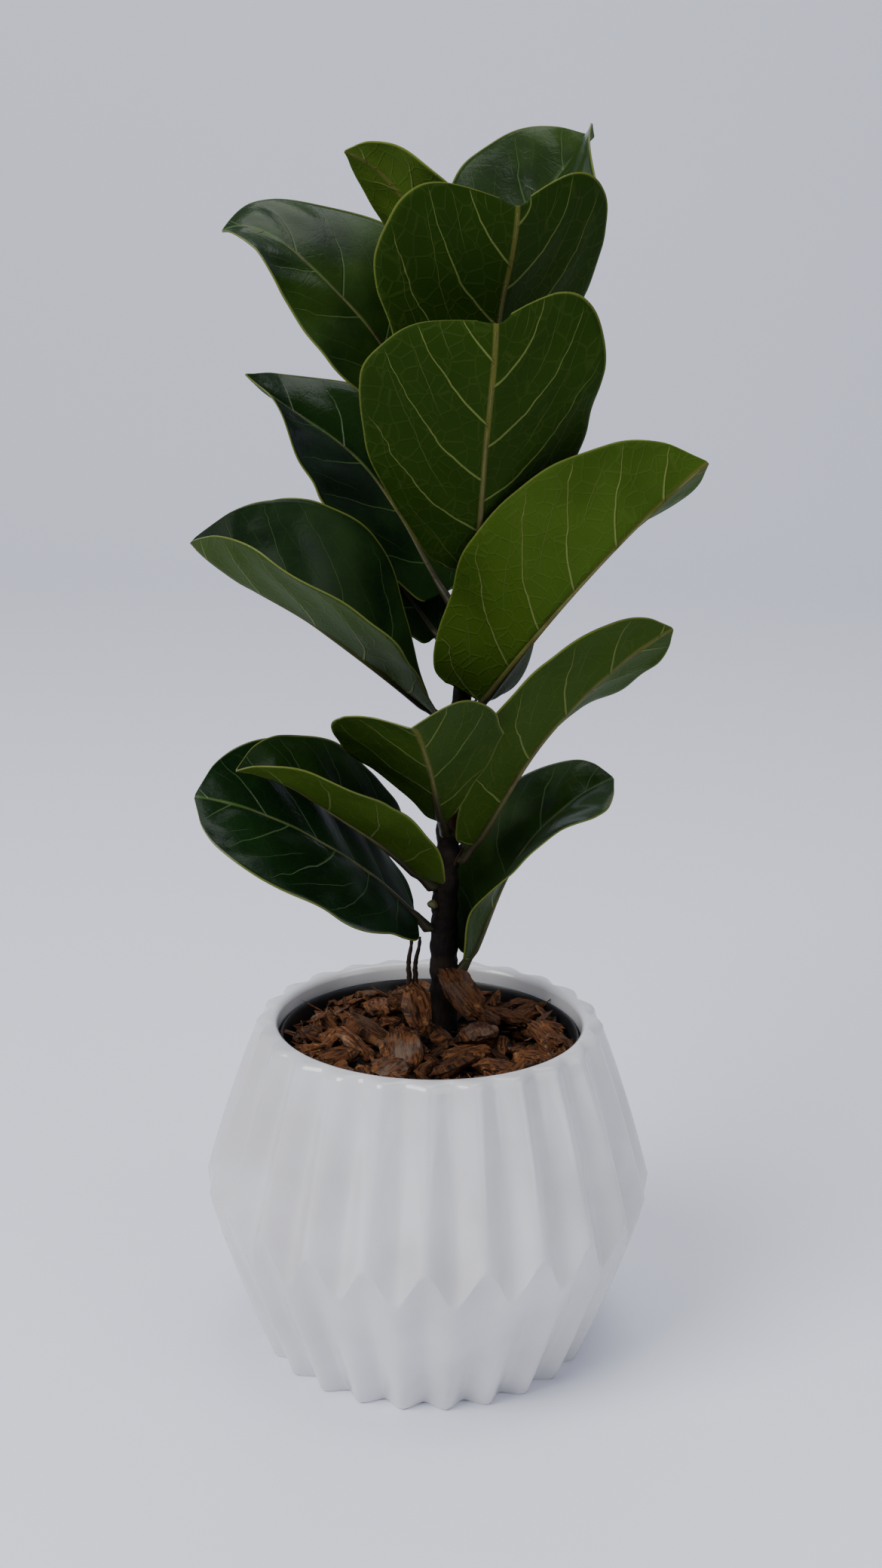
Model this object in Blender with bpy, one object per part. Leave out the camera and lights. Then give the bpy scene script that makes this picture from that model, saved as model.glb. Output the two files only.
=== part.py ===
"""Potted fiddle leaf fig: a young plant in its nursery pot, set in a pleated ceramic cover pot.

Metres, +Z up. The origin is the centre of the cover pot's foot, and the front is towards -Y.
"""

import math
import random

import bpy
from mathutils import Euler, Matrix, Vector
from mathutils.bvhtree import BVHTree

GAP = 0.0003  # between two pieces that touch

# Cover pot
POT_HEIGHT = 0.153
PLEATS = 24
PEAK_RADIUS = 0.099  # where an upper ridge ends at the belly
PEAK_HEIGHT = 0.079
LOW_RADIUS = 0.095  # where an upper valley ends at the belly
LOW_HEIGHT = 0.061
FLARE_RIDGE_RADIUS = 0.0845  # of the lower pleats, halfway up
FLARE_VALLEY_RADIUS = 0.0835
FLARE_RIDGE_HEIGHT = 0.032
FLARE_VALLEY_HEIGHT = 0.040
RIM_RIDGE_RADIUS = 0.077
RIM_VALLEY_RADIUS = 0.0735
MOUTH_RADIUS = 0.067
FOOT_RIDGE_RADIUS = 0.0727
FOOT_VALLEY_RADIUS = 0.066
FOOT_ROUND = 0.001
POT_WALL = 0.006
RIM_ROUND = 0.004
BELLY_BULGE = 0.05  # how far the pleats bow out between rim and belly, as a share of the step
SHOULDER_DROP = 0.027  # how far under the rim the mouth starts to widen into the belly
SHOULDER_STEP = 0.007  # how much wider the inside is there

# Nursery pot
GROW_POT_CLEARANCE = 0.0008  # to the mouth of the cover pot
GROW_POT_BASE_RADIUS = 0.046
GROW_POT_WALL = 0.0012
GROW_POT_RIM_DROP = 0.007  # below the cover pot's rim
DRAIN_RADIUS = 0.005
DRAIN_HOLES = 6
DRAIN_CIRCLE_RADIUS = 0.028

# Filling
SOIL_DROP = 0.014  # soil surface below the nursery pot's rim
SOIL_CLEARANCE = 0.0006  # to the nursery pot's wall
ROOT_CLEARANCE = 0.0012  # to the stem's buried end
BARK_SLABS = {  # size, place from the stem's foot at soil height, turn (about Z, tilt, slope)
    "bark_slab_1": ((0.026, 0.017, 0.004), (-0.013, -0.024, 0.028), (0, 75, 55)),
    "bark_slab_2": ((0.034, 0.017, 0.005), (0.007, -0.018, 0.033), (0, 50, 55)),
    "bark_slab_3": ((0.018, 0.013, 0.004), (-0.020, -0.004, 0.022), (60, 20, 20)),
}
BARK_CHIPS = 33
BARK_SEED = 11
BARK_TRIES = 9000
BARK_DEPTH = 0.012
BARK_HEAP = 0.012  # how much higher the bark lies round the stem
BARK_HEAP_RADIUS = 0.022
CHIP_LONGEST = 0.036
CHIP_SHORTEST = 0.014
CHIP_CLEARANCE = 0.0005

PLANT_SOIL_HEIGHT = 0.132  # the soil surface that the heights of the stem, twigs and leaves allow for

# Stem
STEM_FOOT = Vector((0.007, 0.018, 0.0))  # where the stem stands, measured at soil height
STEM_LEAN = Vector((0.008, -0.012, 0.0))  # how far the tip stands from the foot
STEM_TIP_HEIGHT = 0.440
STEM_BASE_RADIUS = 0.0062
STEM_TIP_RADIUS = 0.0028
STEM_ROOT_DEPTH = 0.020
STEM_SWAY = 0.003
STEM_TOP_ROUND = 0.003

# Twigs and buds
TWIG_FOOT = Vector((-0.010, 0.022, 0.156))
TWIG_RADIUS = 0.0011
TWIGS = {  # offsets from the twigs' foot
    "dead_twig_1": ((0.0, 0.0, 0.0), (0.0004, 0.0, 0.010), (0.0002, 0.0, 0.018), (0.0016, 0.0, 0.027)),
    "dead_twig_2": ((0.0026, 0.001, 0.0), (0.0030, 0.001, 0.009), (0.0046, 0.001, 0.017),
                    (0.0054, 0.001, 0.026)),
}
TIP_BUD = ((0.0012, 0.0), (0.0026, 0.003), (0.0024, 0.008), (0.0006, 0.016))  # radius and height
SIDE_BUD = ((0.0012, 0.0), (0.0022, 0.0015), (0.0018, 0.0035), (0.0006, 0.006))
SIDE_BUD_HEIGHT = 0.202
SIDE_BUD_AZIMUTH = 230
SIDE_BUD_ELEVATION = 20

# Leaves
PETIOLE_RADIUS = 0.0021
BLADE_THICKNESS = 0.0010
TIP_TAPER = 0.012  # half width under which a blade thins towards its tip
TUCK_START = 0.6  # share of the blade's length where its tip starts to fold up
LEAF_STATIONS = 13
LEAF_COLUMNS = 3  # on each side of the midrib
PATH_STEPS = 40
FRAME_REACH = 4  # path steps each way that set the direction of a section

# Each leaf:
#   foot            height on the stem
#   via, tip        places that the midrib passes through and ends at
#   start, end      its directions there: azimuth and elevation in degrees
#   petiole         length of the stalk before the blade
#   half            greatest width of the right and the left half, at peak, a share of the length
#   base            how much of its outline's width the blade has at its base
#   roll            turn about the midrib in degrees, at the base, the middle and the tip
#   fold, curl      how far the right and the left half are folded up from the midrib, and how much
#                   further they curl up to the margin, in degrees
#   open            the share of the fold that is left at the tip
#   blunt           under 1 where the blade stays wide up to a blunt tip
#   tuck            how much further the right and the left half fold up close to the tip, in degrees
#   sweep           how far the right and the left margin are drawn forward beside the tip
#   wave            height, count and phase of the waves along the margin
LEAVES = {
    "leaf_01": dict(foot=0.170, via=(0.040, 0.018, 0.225), tip=(0.080, 0.028, 0.256), start=(-10, 60),
                    end=(5, 20), petiole=0.006, half=(0.030, 0.030), peak=0.60, base=1.0, blunt=1.0,
                    open=0.2, roll=(-10, -20, -25), fold=(60, 35), curl=(0, 0), tuck=(0, 0),
                    sweep=(0, 0), wave=(0.001, 2, 0.0)),
    "leaf_02": dict(foot=0.190, via=(-0.048, -0.034, 0.245), tip=(-0.098, -0.045, 0.266), start=(200, 50),
                    end=(180, 5), petiole=0.008, half=(0.046, 0.038), peak=0.58, base=1.0, blunt=1.0,
                    open=1.0, roll=(25, 30, 35), fold=(8, -5), curl=(5, -5), tuck=(0, 0),
                    sweep=(0, 0), wave=(0.001, 2, 0.5)),
    "leaf_03": dict(foot=0.210, via=(-0.035, -0.024, 0.249), tip=(-0.081, -0.045, 0.277), start=(215, 45),
                    end=(180, 0), petiole=0.008, half=(0.031, 0.031), peak=0.50, base=1.0, blunt=1.0,
                    open=1.0, roll=(10, 15, 15), fold=(45, 38), curl=(0, 0), tuck=(0, 0),
                    sweep=(0, 0), wave=(0.001, 2, 0.0)),
    "leaf_04": dict(foot=0.222, via=(0.050, -0.012, 0.288), tip=(0.099, -0.015, 0.333), start=(-25, 55),
                    end=(0, 30), petiole=0.010, half=(0.031, 0.031), peak=0.55, base=0.8, blunt=1.0,
                    open=0.3, roll=(15, 20, 40), fold=(35, 30), curl=(0, 0), tuck=(0, 0),
                    sweep=(0, 0), wave=(0.001, 2, 0.0)),
    "leaf_05": dict(foot=0.236, via=(-0.002, -0.044, 0.281), tip=(-0.009, -0.072, 0.303), start=(258, 38),
                    end=(255, 10), petiole=0.014, half=(0.043, 0.034), peak=0.60, base=0.35, blunt=1.0,
                    open=1.0, roll=(0, -6, -8), fold=(22, 30), curl=(0, 0), tuck=(0, 0),
                    sweep=(0, 0), wave=(0.001, 2, 0.0)),
    "leaf_06": dict(foot=0.285, via=(-0.048, -0.020, 0.332), tip=(-0.100, -0.026, 0.368), start=(215, 40),
                    end=(180, 50), petiole=0.010, half=(0.047, 0.046), peak=0.62, base=0.4, blunt=0.8,
                    open=1.0, roll=(20, 30, 25), fold=(48, 48), curl=(0, 0), tuck=(0, 0),
                    sweep=(0, 0), wave=(0.001, 2, 0.0)),
    "leaf_07": dict(foot=0.288, via=(0.060, -0.040, 0.357), tip=(0.107, -0.045, 0.406), start=(-45, 50),
                    end=(5, 40), petiole=0.010, half=(0.046, 0.036), peak=0.48, base=1.0, blunt=1.0,
                    open=1.0, roll=(45, 46, 46), fold=(34, 70), curl=(0, 0), tuck=(0, -30),
                    sweep=(0, 0), wave=(0.001, 2, 0.0)),
    "leaf_08": dict(foot=0.314, via=(-0.018, 0.020, 0.346), tip=(-0.046, 0.030, 0.380), start=(155, 45),
                    end=(180, 50), petiole=0.010, half=(0.030, 0.030), peak=0.50, base=0.6, blunt=1.0,
                    open=1.0, roll=(35, 40, 40), fold=(5, 15), curl=(0, 0), tuck=(0, 0),
                    sweep=(0, 0), wave=(0.001, 2, 0.0)),
    "leaf_09": dict(foot=0.332, via=(-0.032, 0.038, 0.391), tip=(-0.083, 0.040, 0.429), start=(150, 50),
                    end=(180, 45), petiole=0.010, half=(0.034, 0.034), peak=0.36, base=0.6, blunt=1.0,
                    open=1.0, roll=(50, 45, 20), fold=(5, 20), curl=(0, 0), tuck=(0, 20),
                    sweep=(0, 0), wave=(0.001, 2, 0.0)),
    "leaf_10": dict(foot=0.345, via=(0.019, -0.038, 0.408), tip=(0.022, -0.050, 0.459), start=(-85, 45),
                    end=(-90, 95), petiole=0.010, half=(0.052, 0.046), peak=0.66, base=0.8, blunt=0.6,
                    open=1.0, roll=(0, 0, 0), fold=(10, 10), curl=(10, 10), tuck=(0, 0),
                    sweep=(0.004, 0.030), wave=(0.001, 2, 0.0)),
    "leaf_11": dict(foot=0.394, via=(-0.040, 0.014, 0.463), tip=(-0.090, 0.018, 0.488), start=(180, 50),
                    end=(185, -35), petiole=0.008, half=(0.046, 0.028), peak=0.36, base=0.25, blunt=1.0,
                    open=1.0, roll=(50, 50, 30), fold=(0, 5), curl=(0, 5), tuck=(0, 0),
                    sweep=(0, 0), wave=(0.001, 2, 0.0)),
    "leaf_12": dict(foot=0.395, via=(0.024, -0.014, 0.458), tip=(0.030, -0.024, 0.502), start=(-80, 60),
                    end=(-90, 95), petiole=0.010, half=(0.052, 0.047), peak=0.68, base=0.7, blunt=0.6,
                    open=1.0, roll=(0, 0, 0), fold=(10, 10), curl=(10, 10), tuck=(0, 0),
                    sweep=(0.018, 0.030), wave=(0.001, 2, 0.0)),
    "leaf_13": dict(foot=0.432, via=(0.036, 0.052, 0.490), tip=(0.065, 0.074, 0.528), start=(30, 60),
                    end=(30, 40), petiole=0.014, half=(0.050, 0.040), peak=0.55, base=0.2, blunt=1.0,
                    open=1.0, roll=(-15, -20, -20), fold=(45, 5), curl=(10, 0), tuck=(25, 0),
                    sweep=(0, 0), wave=(0.001, 2, 0.0)),
    "leaf_14": dict(foot=0.428, via=(-0.002, 0.002, 0.482), tip=(-0.039, -0.004, 0.521), start=(190, 70),
                    end=(180, 15), petiole=0.008, half=(0.029, 0.029), peak=0.42, base=0.8, blunt=1.0,
                    open=1.0, roll=(-30, -30, -30), fold=(10, 10), curl=(0, 0), tuck=(0, 0),
                    sweep=(0, 0), wave=(0.001, 2, 0.0)),
}

# Half width of a blade along its length, as shares of the length and of the greatest half width. The
# greatest width is at BLADE_PEAK here, and each leaf's own peak moves it.
BLADE_PEAK = 0.66
BLADE_OUTLINE = ((0.0, 0.0), (0.015, 0.26), (0.06, 0.46), (0.18, 0.62), (0.36, 0.78), (0.52, 0.94),
                 (0.66, 1.0), (0.80, 0.93), (0.91, 0.68), (0.97, 0.38), (1.0, 0.0))

COLOURS = {
    "ceramic": (0.80, 0.80, 0.82),
    "black_plastic": (0.02, 0.02, 0.02),
    "soil": (0.03, 0.02, 0.015),
    "bark": (0.16, 0.07, 0.03),
    "stem": (0.05, 0.035, 0.025),
    "leaf": (0.04, 0.12, 0.02),
    "bud": (0.30, 0.28, 0.10),
    "twig": (0.04, 0.025, 0.02),
}


def clear_scene():
    for obj in list(bpy.data.objects):
        bpy.data.objects.remove(obj, do_unlink=True)


def material(name, colour, roughness):
    mat = bpy.data.materials.new(name)
    mat.use_nodes = True
    shader = mat.node_tree.nodes["Principled BSDF"]
    shader.inputs["Base Color"].default_value = (*colour, 1.0)
    shader.inputs["Roughness"].default_value = roughness
    shader.inputs["Metallic"].default_value = 0.0
    return mat


def add_object(name, points, faces, colour, roughness):
    mesh = bpy.data.meshes.new(name)
    mesh.from_pydata([tuple(p) for p in points], [], faces)
    mesh.update()
    obj = bpy.data.objects.new(name, mesh)
    bpy.context.scene.collection.objects.link(obj)
    mesh.materials.append(material(name, COLOURS[colour], roughness))
    return obj


def loft(rings, closed_start=True, closed_end=True):
    """Points and faces of a tube through rings with the same number of points, ends filled."""
    count = len(rings[0])
    points = [p for ring in rings for p in ring]
    faces = []
    for row in range(len(rings) - 1):
        for i in range(count):
            j = (i + 1) % count
            a, b = row * count, (row + 1) * count
            faces.append((a + i, a + j, b + j, b + i))
    if closed_start:
        faces.append(tuple(reversed(range(count))))
    if closed_end:
        last = (len(rings) - 1) * count
        faces.append(tuple(range(last, last + count)))
    return points, faces


def smooth_step(t):
    return t * t * (3.0 - 2.0 * t)


def table_at(table, t):
    """Smooth value at t of a table of (place, value) pairs, by Catmull-Rom between its points."""
    places = [row[0] for row in table]
    values = [row[1] for row in table]
    t = min(max(t, places[0]), places[-1])
    k = max(i for i in range(len(places) - 1) if places[i] <= t)
    span = places[k + 1] - places[k]
    s = (t - places[k]) / span

    def slope(i):
        if i in (0, len(places) - 1):
            j = 1 if i == 0 else i
            return (values[j] - values[j - 1]) / (places[j] - places[j - 1])
        return (values[i + 1] - values[i - 1]) / (places[i + 1] - places[i - 1])

    a, b = values[k], values[k + 1]
    m, n = slope(k) * span, slope(k + 1) * span
    return ((2 * s**3 - 3 * s**2 + 1) * a + (s**3 - 2 * s**2 + s) * m
            + (3 * s**2 - 2 * s**3) * b + (s**3 - s**2) * n)


# Cover pot


def pot_row(height_and_radius):
    """A ring with four columns per pleat: upper ridge, flank, upper valley, flank."""
    ring = []
    for column in range(4 * PLEATS):
        angle = 2 * math.pi * column / (4 * PLEATS)
        valley = (1 - math.cos(PLEATS * angle)) / 2
        height, radius = height_and_radius(valley)
        ring.append(Vector((radius * math.sin(angle), -radius * math.cos(angle), height)))
    return ring


def mix(a, b, share):
    return a + (b - a) * share


def pot_outer_rows():
    yield lambda v: (0.0, mix(FOOT_VALLEY_RADIUS, FOOT_RIDGE_RADIUS, v) - FOOT_ROUND)
    yield lambda v: (FOOT_ROUND, mix(FOOT_VALLEY_RADIUS, FOOT_RIDGE_RADIUS, v))
    yield lambda v: (mix(FLARE_VALLEY_HEIGHT, FLARE_RIDGE_HEIGHT, v),
                     mix(FLARE_VALLEY_RADIUS, FLARE_RIDGE_RADIUS, v))
    yield lambda v: (mix(PEAK_HEIGHT, LOW_HEIGHT, v), mix(PEAK_RADIUS, LOW_RADIUS, v))
    for share in (0.3, 0.65, 1.0):
        def row(v, share=share):
            top = POT_HEIGHT - RIM_ROUND
            ridge = mix(PEAK_RADIUS, RIM_RIDGE_RADIUS, share)
            ridge += (PEAK_RADIUS - RIM_RIDGE_RADIUS) * BELLY_BULGE * 4 * share * (1 - share)
            valley = mix(LOW_RADIUS, RIM_VALLEY_RADIUS, share)
            valley += (LOW_RADIUS - RIM_VALLEY_RADIUS) * BELLY_BULGE * 4 * share * (1 - share)
            height = mix(mix(PEAK_HEIGHT, LOW_HEIGHT, v), top, share)
            return height, mix(ridge, valley, v)
        yield row


def pot_rows():
    """From the middle of the foot's outside, up over the rim and down the round inside."""
    rim = [pot_row(lambda v: (POT_HEIGHT - 0.3 * RIM_ROUND,
                              mix(RIM_RIDGE_RADIUS, RIM_VALLEY_RADIUS, v) - 0.4 * RIM_ROUND)),
           pot_row(lambda v: (POT_HEIGHT, mix(RIM_RIDGE_RADIUS, RIM_VALLEY_RADIUS, v) - RIM_ROUND)),
           pot_row(lambda v: (POT_HEIGHT - 0.1 * RIM_ROUND, MOUTH_RADIUS + 0.3 * RIM_ROUND)),
           pot_row(lambda v: (POT_HEIGHT - 0.45 * RIM_ROUND, MOUTH_RADIUS))]
    inner = LOW_RADIUS - 1.4 * POT_WALL
    inside = [pot_row(lambda v, h=h, r=r: (h, r)) for h, r in (
        (POT_HEIGHT - SHOULDER_DROP, MOUTH_RADIUS + SHOULDER_STEP),
        (PEAK_HEIGHT, inner),
        (LOW_HEIGHT, inner),
        (POT_WALL, FOOT_VALLEY_RADIUS - POT_WALL))]
    return [pot_row(rule) for rule in pot_outer_rows()] + rim + inside


def build_pot():
    points, faces = loft(pot_rows())
    return add_object("pot", points, faces, "ceramic", 0.12)


# Nursery pot and soil


def grow_pot_top():
    return POT_HEIGHT - GROW_POT_RIM_DROP


def grow_pot_base():
    return POT_WALL + GAP


def grow_pot_radius(height):
    share = (height - grow_pot_base()) / (grow_pot_top() - grow_pot_base())
    return mix(GROW_POT_BASE_RADIUS, MOUTH_RADIUS - GROW_POT_CLEARANCE, share)


def circle(radius, height, sides=32, centre=(0.0, 0.0)):
    return [Vector((centre[0] + radius * math.cos(2 * math.pi * i / sides),
                    centre[1] + radius * math.sin(2 * math.pi * i / sides), height)) for i in range(sides)]


def build_grow_pot():
    base, top = grow_pot_base(), grow_pot_top()
    floor = base + GROW_POT_WALL
    rings = [circle(grow_pot_radius(base), base),
             circle(grow_pot_radius(top), top),
             circle(grow_pot_radius(top) - GROW_POT_WALL, top),
             circle(grow_pot_radius(floor) - GROW_POT_WALL, floor)]
    obj = add_object("grow_pot", *loft(rings), "black_plastic", 0.5)
    for i in range(DRAIN_HOLES):
        angle = 2 * math.pi * i / DRAIN_HOLES
        centre = (DRAIN_CIRCLE_RADIUS * math.cos(angle), DRAIN_CIRCLE_RADIUS * math.sin(angle))
        tool = add_object(f"drain_cutter_{i}", *loft([
            circle(DRAIN_RADIUS, base - GROW_POT_WALL, 12, centre),
            circle(DRAIN_RADIUS, floor + GROW_POT_WALL, 12, centre)]), "black_plastic", 0.5)
        tool.hide_render = True
        tool.display_type = "WIRE"
        cut = obj.modifiers.new("drain", "BOOLEAN")
        cut.object = tool
        cut.solver = "EXACT"
    return obj


def soil_top():
    return grow_pot_top() - SOIL_DROP


def lift():
    """How much higher the plant stands than the heights given for it."""
    return soil_top() - PLANT_SOIL_HEIGHT


def stem_tip():
    return STEM_TIP_HEIGHT + lift()


def build_soil():
    floor = grow_pot_base() + GROW_POT_WALL + GAP
    inset = GROW_POT_WALL + SOIL_CLEARANCE
    top = soil_top()
    pocket = stem_radius(top) + ROOT_CLEARANCE
    root = (STEM_FOOT.x, STEM_FOOT.y)
    rings = [circle(grow_pot_radius(floor) - inset, floor),
             circle(grow_pot_radius(top) - inset, top),
             circle(pocket, top, 32, root),
             circle(pocket, top - STEM_ROOT_DEPTH - GAP, 32, root)]
    return add_object("soil", *loft(rings), "soil", 0.9)


# Stem


def stem_axis(height):
    share = (height - soil_top()) / (stem_tip() - soil_top())
    sway = STEM_SWAY * math.sin(math.pi * 2 * share)
    return Vector((STEM_FOOT.x + STEM_LEAN.x * share - sway, STEM_FOOT.y + STEM_LEAN.y * share, height))


def stem_radius(height):
    share = (height - soil_top()) / (stem_tip() - soil_top())
    return mix(STEM_BASE_RADIUS, STEM_TIP_RADIUS, min(max(share, 0.0), 1.0))


def build_stem():
    sides = 12
    start = soil_top() - STEM_ROOT_DEPTH
    heights = [start + (stem_tip() - start) * i / 24 for i in range(25)]
    rings = []
    for height in heights:
        below = height < soil_top()
        centre = Vector((STEM_FOOT.x, STEM_FOOT.y, height)) if below else stem_axis(height)
        rings.append(circle(stem_radius(height), height, sides, (centre.x, centre.y)))
    top = stem_tip() + STEM_TOP_ROUND
    rings.append(circle(STEM_TIP_RADIUS * 0.5, top, sides, stem_axis(stem_tip())[:2]))
    return add_object("stem", *loft(rings), "stem", 0.8)


# Leaves


def direction(azimuth, elevation):
    a, e = math.radians(azimuth), math.radians(elevation)
    return Vector((math.cos(e) * math.cos(a), math.cos(e) * math.sin(a), math.sin(e)))


def hermite(a, b, slope_a, slope_b, t):
    return (a * (2 * t**3 - 3 * t**2 + 1) + slope_a * (t**3 - 2 * t**2 + t)
            + b * (3 * t**2 - 2 * t**3) + slope_b * (t**3 - t**2))


def leaf_path(leaf):
    """Evenly spaced points of the midrib from the stem to the tip, and its length."""
    out = direction(leaf["start"][0], 0)
    height = leaf["foot"] + lift()
    foot = stem_axis(height) + out * (stem_radius(height) + PETIOLE_RADIUS + GAP)
    rise = Vector((0.0, 0.0, lift()))
    via, tip = Vector(leaf["via"]) + rise, Vector(leaf["tip"]) + rise
    near, far = (via - foot).length, (tip - via).length
    through = (tip - foot).normalized()
    steps = 24
    dense = [hermite(foot, via, direction(*leaf["start"]) * near, through * near, i / steps)
             for i in range(steps)]
    dense += [hermite(via, tip, through * far, direction(*leaf["end"]) * far, i / steps)
              for i in range(steps + 1)]
    along = [0.0]
    for a, b in zip(dense, dense[1:]):
        along.append(along[-1] + (b - a).length)
    points = []
    k = 0
    for i in range(PATH_STEPS + 1):
        target = along[-1] * i / PATH_STEPS
        while k < len(dense) - 2 and along[k + 1] < target:
            k += 1
        share = (target - along[k]) / (along[k + 1] - along[k])
        points.append(mix(dense[k], dense[k + 1], share))
    return points, along[-1]


def on_path(points, t):
    """Point and unit tangent at share t of an evenly spaced path."""
    place = min(max(t, 0.0), 1.0) * PATH_STEPS
    k = min(int(place), PATH_STEPS - 1)
    before, after = max(k - FRAME_REACH, 0), min(k + 1 + FRAME_REACH, PATH_STEPS)
    tangent = (points[after] - points[before]).normalized()
    return mix(points[k], points[k + 1], place - k), tangent


def three_way(values, t):
    """A value that runs smoothly through its base, middle and tip values."""
    a, m, b = values
    if t < 0.5:
        return mix(a, m, smooth_step(2 * t))
    return mix(m, b, smooth_step(2 * t - 1))


def blade_outline(leaf, t):
    """Share of the greatest half width at share t of the blade's length."""
    share = table_at(BLADE_OUTLINE, t ** (math.log(BLADE_PEAK) / math.log(leaf["peak"])))
    if t > leaf["peak"]:
        share = max(share, 0.0) ** leaf["blunt"]
    return share * mix(leaf["base"], 1.0, smooth_step(min(1.0, t / 0.45)))


def side_of(leaf):
    """The horizontal direction to the right of the leaf, looking from the stem to the tip."""
    out = Vector(leaf["tip"]) - stem_axis(leaf["foot"] + lift())
    return Vector((out.y, -out.x, 0.0)).normalized()


def blade_frame(leaf, tangent, t):
    side = side_of(leaf)
    normal = side.cross(tangent).normalized()
    side = tangent.cross(normal).normalized()
    roll = math.radians(three_way(leaf["roll"], t))
    turned_side = side * math.cos(roll) + normal * math.sin(roll)
    turned_normal = normal * math.cos(roll) - side * math.sin(roll)
    return turned_side, turned_normal


def half_section(leaf, t, hand, side, normal, tangent):
    """Offsets and upward normals from the midrib to one margin; hand is 0 for right, 1 for left."""
    sign = 1 if hand == 0 else -1
    width = blade_outline(leaf, t)
    half = leaf["half"][hand] * width
    fold = leaf["fold"][hand] * mix(1.0, leaf["open"], t)
    fold += leaf["tuck"][hand] * smooth_step(max(0.0, (t - TUCK_START) / (1 - TUCK_START)))
    curl = leaf["curl"][hand]
    height, count, phase = leaf["wave"]
    ease = mix(0.6, 1.0, smooth_step(min(1.0, t / 0.25)))
    offset = Vector((0.0, 0.0, 0.0))
    steps = 4
    found = []
    for column in range(LEAF_COLUMNS):
        for step in range(steps):
            u = (column + (step + 0.5) / steps) / LEAF_COLUMNS
            angle = math.radians((fold + curl * u) * ease)
            outward = side * sign * math.cos(angle) + normal * math.sin(angle)
            offset += outward * half / (LEAF_COLUMNS * steps)
        u = (column + 1) / LEAF_COLUMNS
        angle = math.radians((fold + curl * u) * ease)
        up = normal * math.cos(angle) - side * sign * math.sin(angle)
        turn = 2 * math.pi * (count * t + phase + 0.35 * hand)
        wave = height * u * u * math.sin(turn) * math.sin(math.pi * t)
        ahead = tangent * leaf["sweep"][hand] * u**2 * t**2 * width
        found.append((offset + up * wave + ahead, up))
    return found


def leaf_rings(leaf):
    path, length = leaf_path(leaf)
    stalk = leaf["petiole"] / length
    rings = []
    sides = 4 * LEAF_COLUMNS + 2
    for t in (0.0, stalk * 0.5):
        point, tangent = on_path(path, t)
        side, normal = blade_frame(leaf, tangent, 0.0)
        ring = []
        for i in range(sides):
            angle = math.pi * (i + 0.5) / (sides / 2)
            ring.append(point + (side * math.cos(angle) + normal * math.sin(angle)) * PETIOLE_RADIUS)
        rings.append(ring)
    for k in range(LEAF_STATIONS):
        t = 1 - (1 - k / (LEAF_STATIONS - 1)) ** 1.15
        t = 0.02 + 0.975 * t
        point, tangent = on_path(path, stalk + (1 - stalk) * t)
        side, normal = blade_frame(leaf, tangent, t)
        half = max(leaf["half"]) * blade_outline(leaf, t)
        thick = BLADE_THICKNESS / 2 * min(1.0, 0.25 + half / TIP_TAPER)
        rib = mix(PETIOLE_RADIUS, thick, smooth_step(min(1.0, t / 0.5)))
        right = half_section(leaf, t, 0, side, normal, tangent)
        left = half_section(leaf, t, 1, side, normal, tangent)
        across = [(p, n, thick, 1) for p, n in reversed(right)]
        across.append((Vector((0.0, 0.0, 0.0)), normal, rib, 0))
        across += [(p, n, thick, -1) for p, n in left]
        top = [point + p + n * thick for p, n, _, _ in across]
        under = [point + p - n * depth for p, n, depth, _ in reversed(across)]
        rings.append(top + under)
    return [ring[::-1] for ring in rings]  # anticlockwise about the direction of growth


def build_leaf(name, leaf):
    return add_object(name, *loft(leaf_rings(leaf)), "leaf", 0.3)


# Bark, twigs and buds


def chip_rings(size, rng):
    """A flat, broken piece of bark: three seven-sided outlines, one above the other."""
    length, width, thick = size
    sides = 7
    wobble = [rng.uniform(0.80, 1.10) for _ in range(sides)]
    rings = []
    for share, level in ((0.85, -0.5), (1.0, 0.0), (0.80, 0.5)):
        ring = []
        for i in range(sides):
            angle = 2 * math.pi * i / sides
            ring.append(Vector((length / 2 * wobble[i] * share * math.cos(angle),
                                width / 2 * wobble[i] * share * math.sin(angle), thick * level)))
        rings.append(ring)
    return rings


def placed(rings, place, turn):
    """Rings turned by (about Z, tilt, slope in degrees) and moved to a place."""
    about, tilt, slope = (math.radians(angle) for angle in turn)
    matrix = Matrix.Translation(place) @ Euler((slope, tilt, about)).to_matrix().to_4x4()
    return [[matrix @ point for point in ring] for ring in rings]


def grown(rings, margin):
    """The same closed shape, larger by a margin all round."""
    points = [point for ring in rings for point in ring]
    middle = sum(points, Vector()) / len(points)
    return [[point + (point - middle).normalized() * margin for point in ring] for ring in rings]


def tree_of(points, faces):
    return BVHTree.FromPolygons([tuple(point) for point in points], faces)


def bark_height(x, y):
    """Top of the bark bed, which is heaped up round the stem."""
    away = math.hypot(x - STEM_FOOT.x, y - STEM_FOOT.y)
    return soil_top() + BARK_DEPTH + BARK_HEAP * math.exp(-((away / BARK_HEAP_RADIUS) ** 2))


def chip_fits(rings, trees):
    """True if a chip stays inside the nursery pot, above the soil and clear of what is there."""
    points = [point for ring in rings for point in ring]
    lowest = soil_top() + CHIP_CLEARANCE
    for point in points:
        room = grow_pot_radius(min(point.z, grow_pot_top())) - GROW_POT_WALL - CHIP_CLEARANCE
        if point.z < lowest or math.hypot(point.x, point.y) > room:
            return False
    tree = tree_of(*loft(grown(rings, CHIP_CLEARANCE)))
    return not any(tree.overlap(other) for other in trees)


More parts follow.
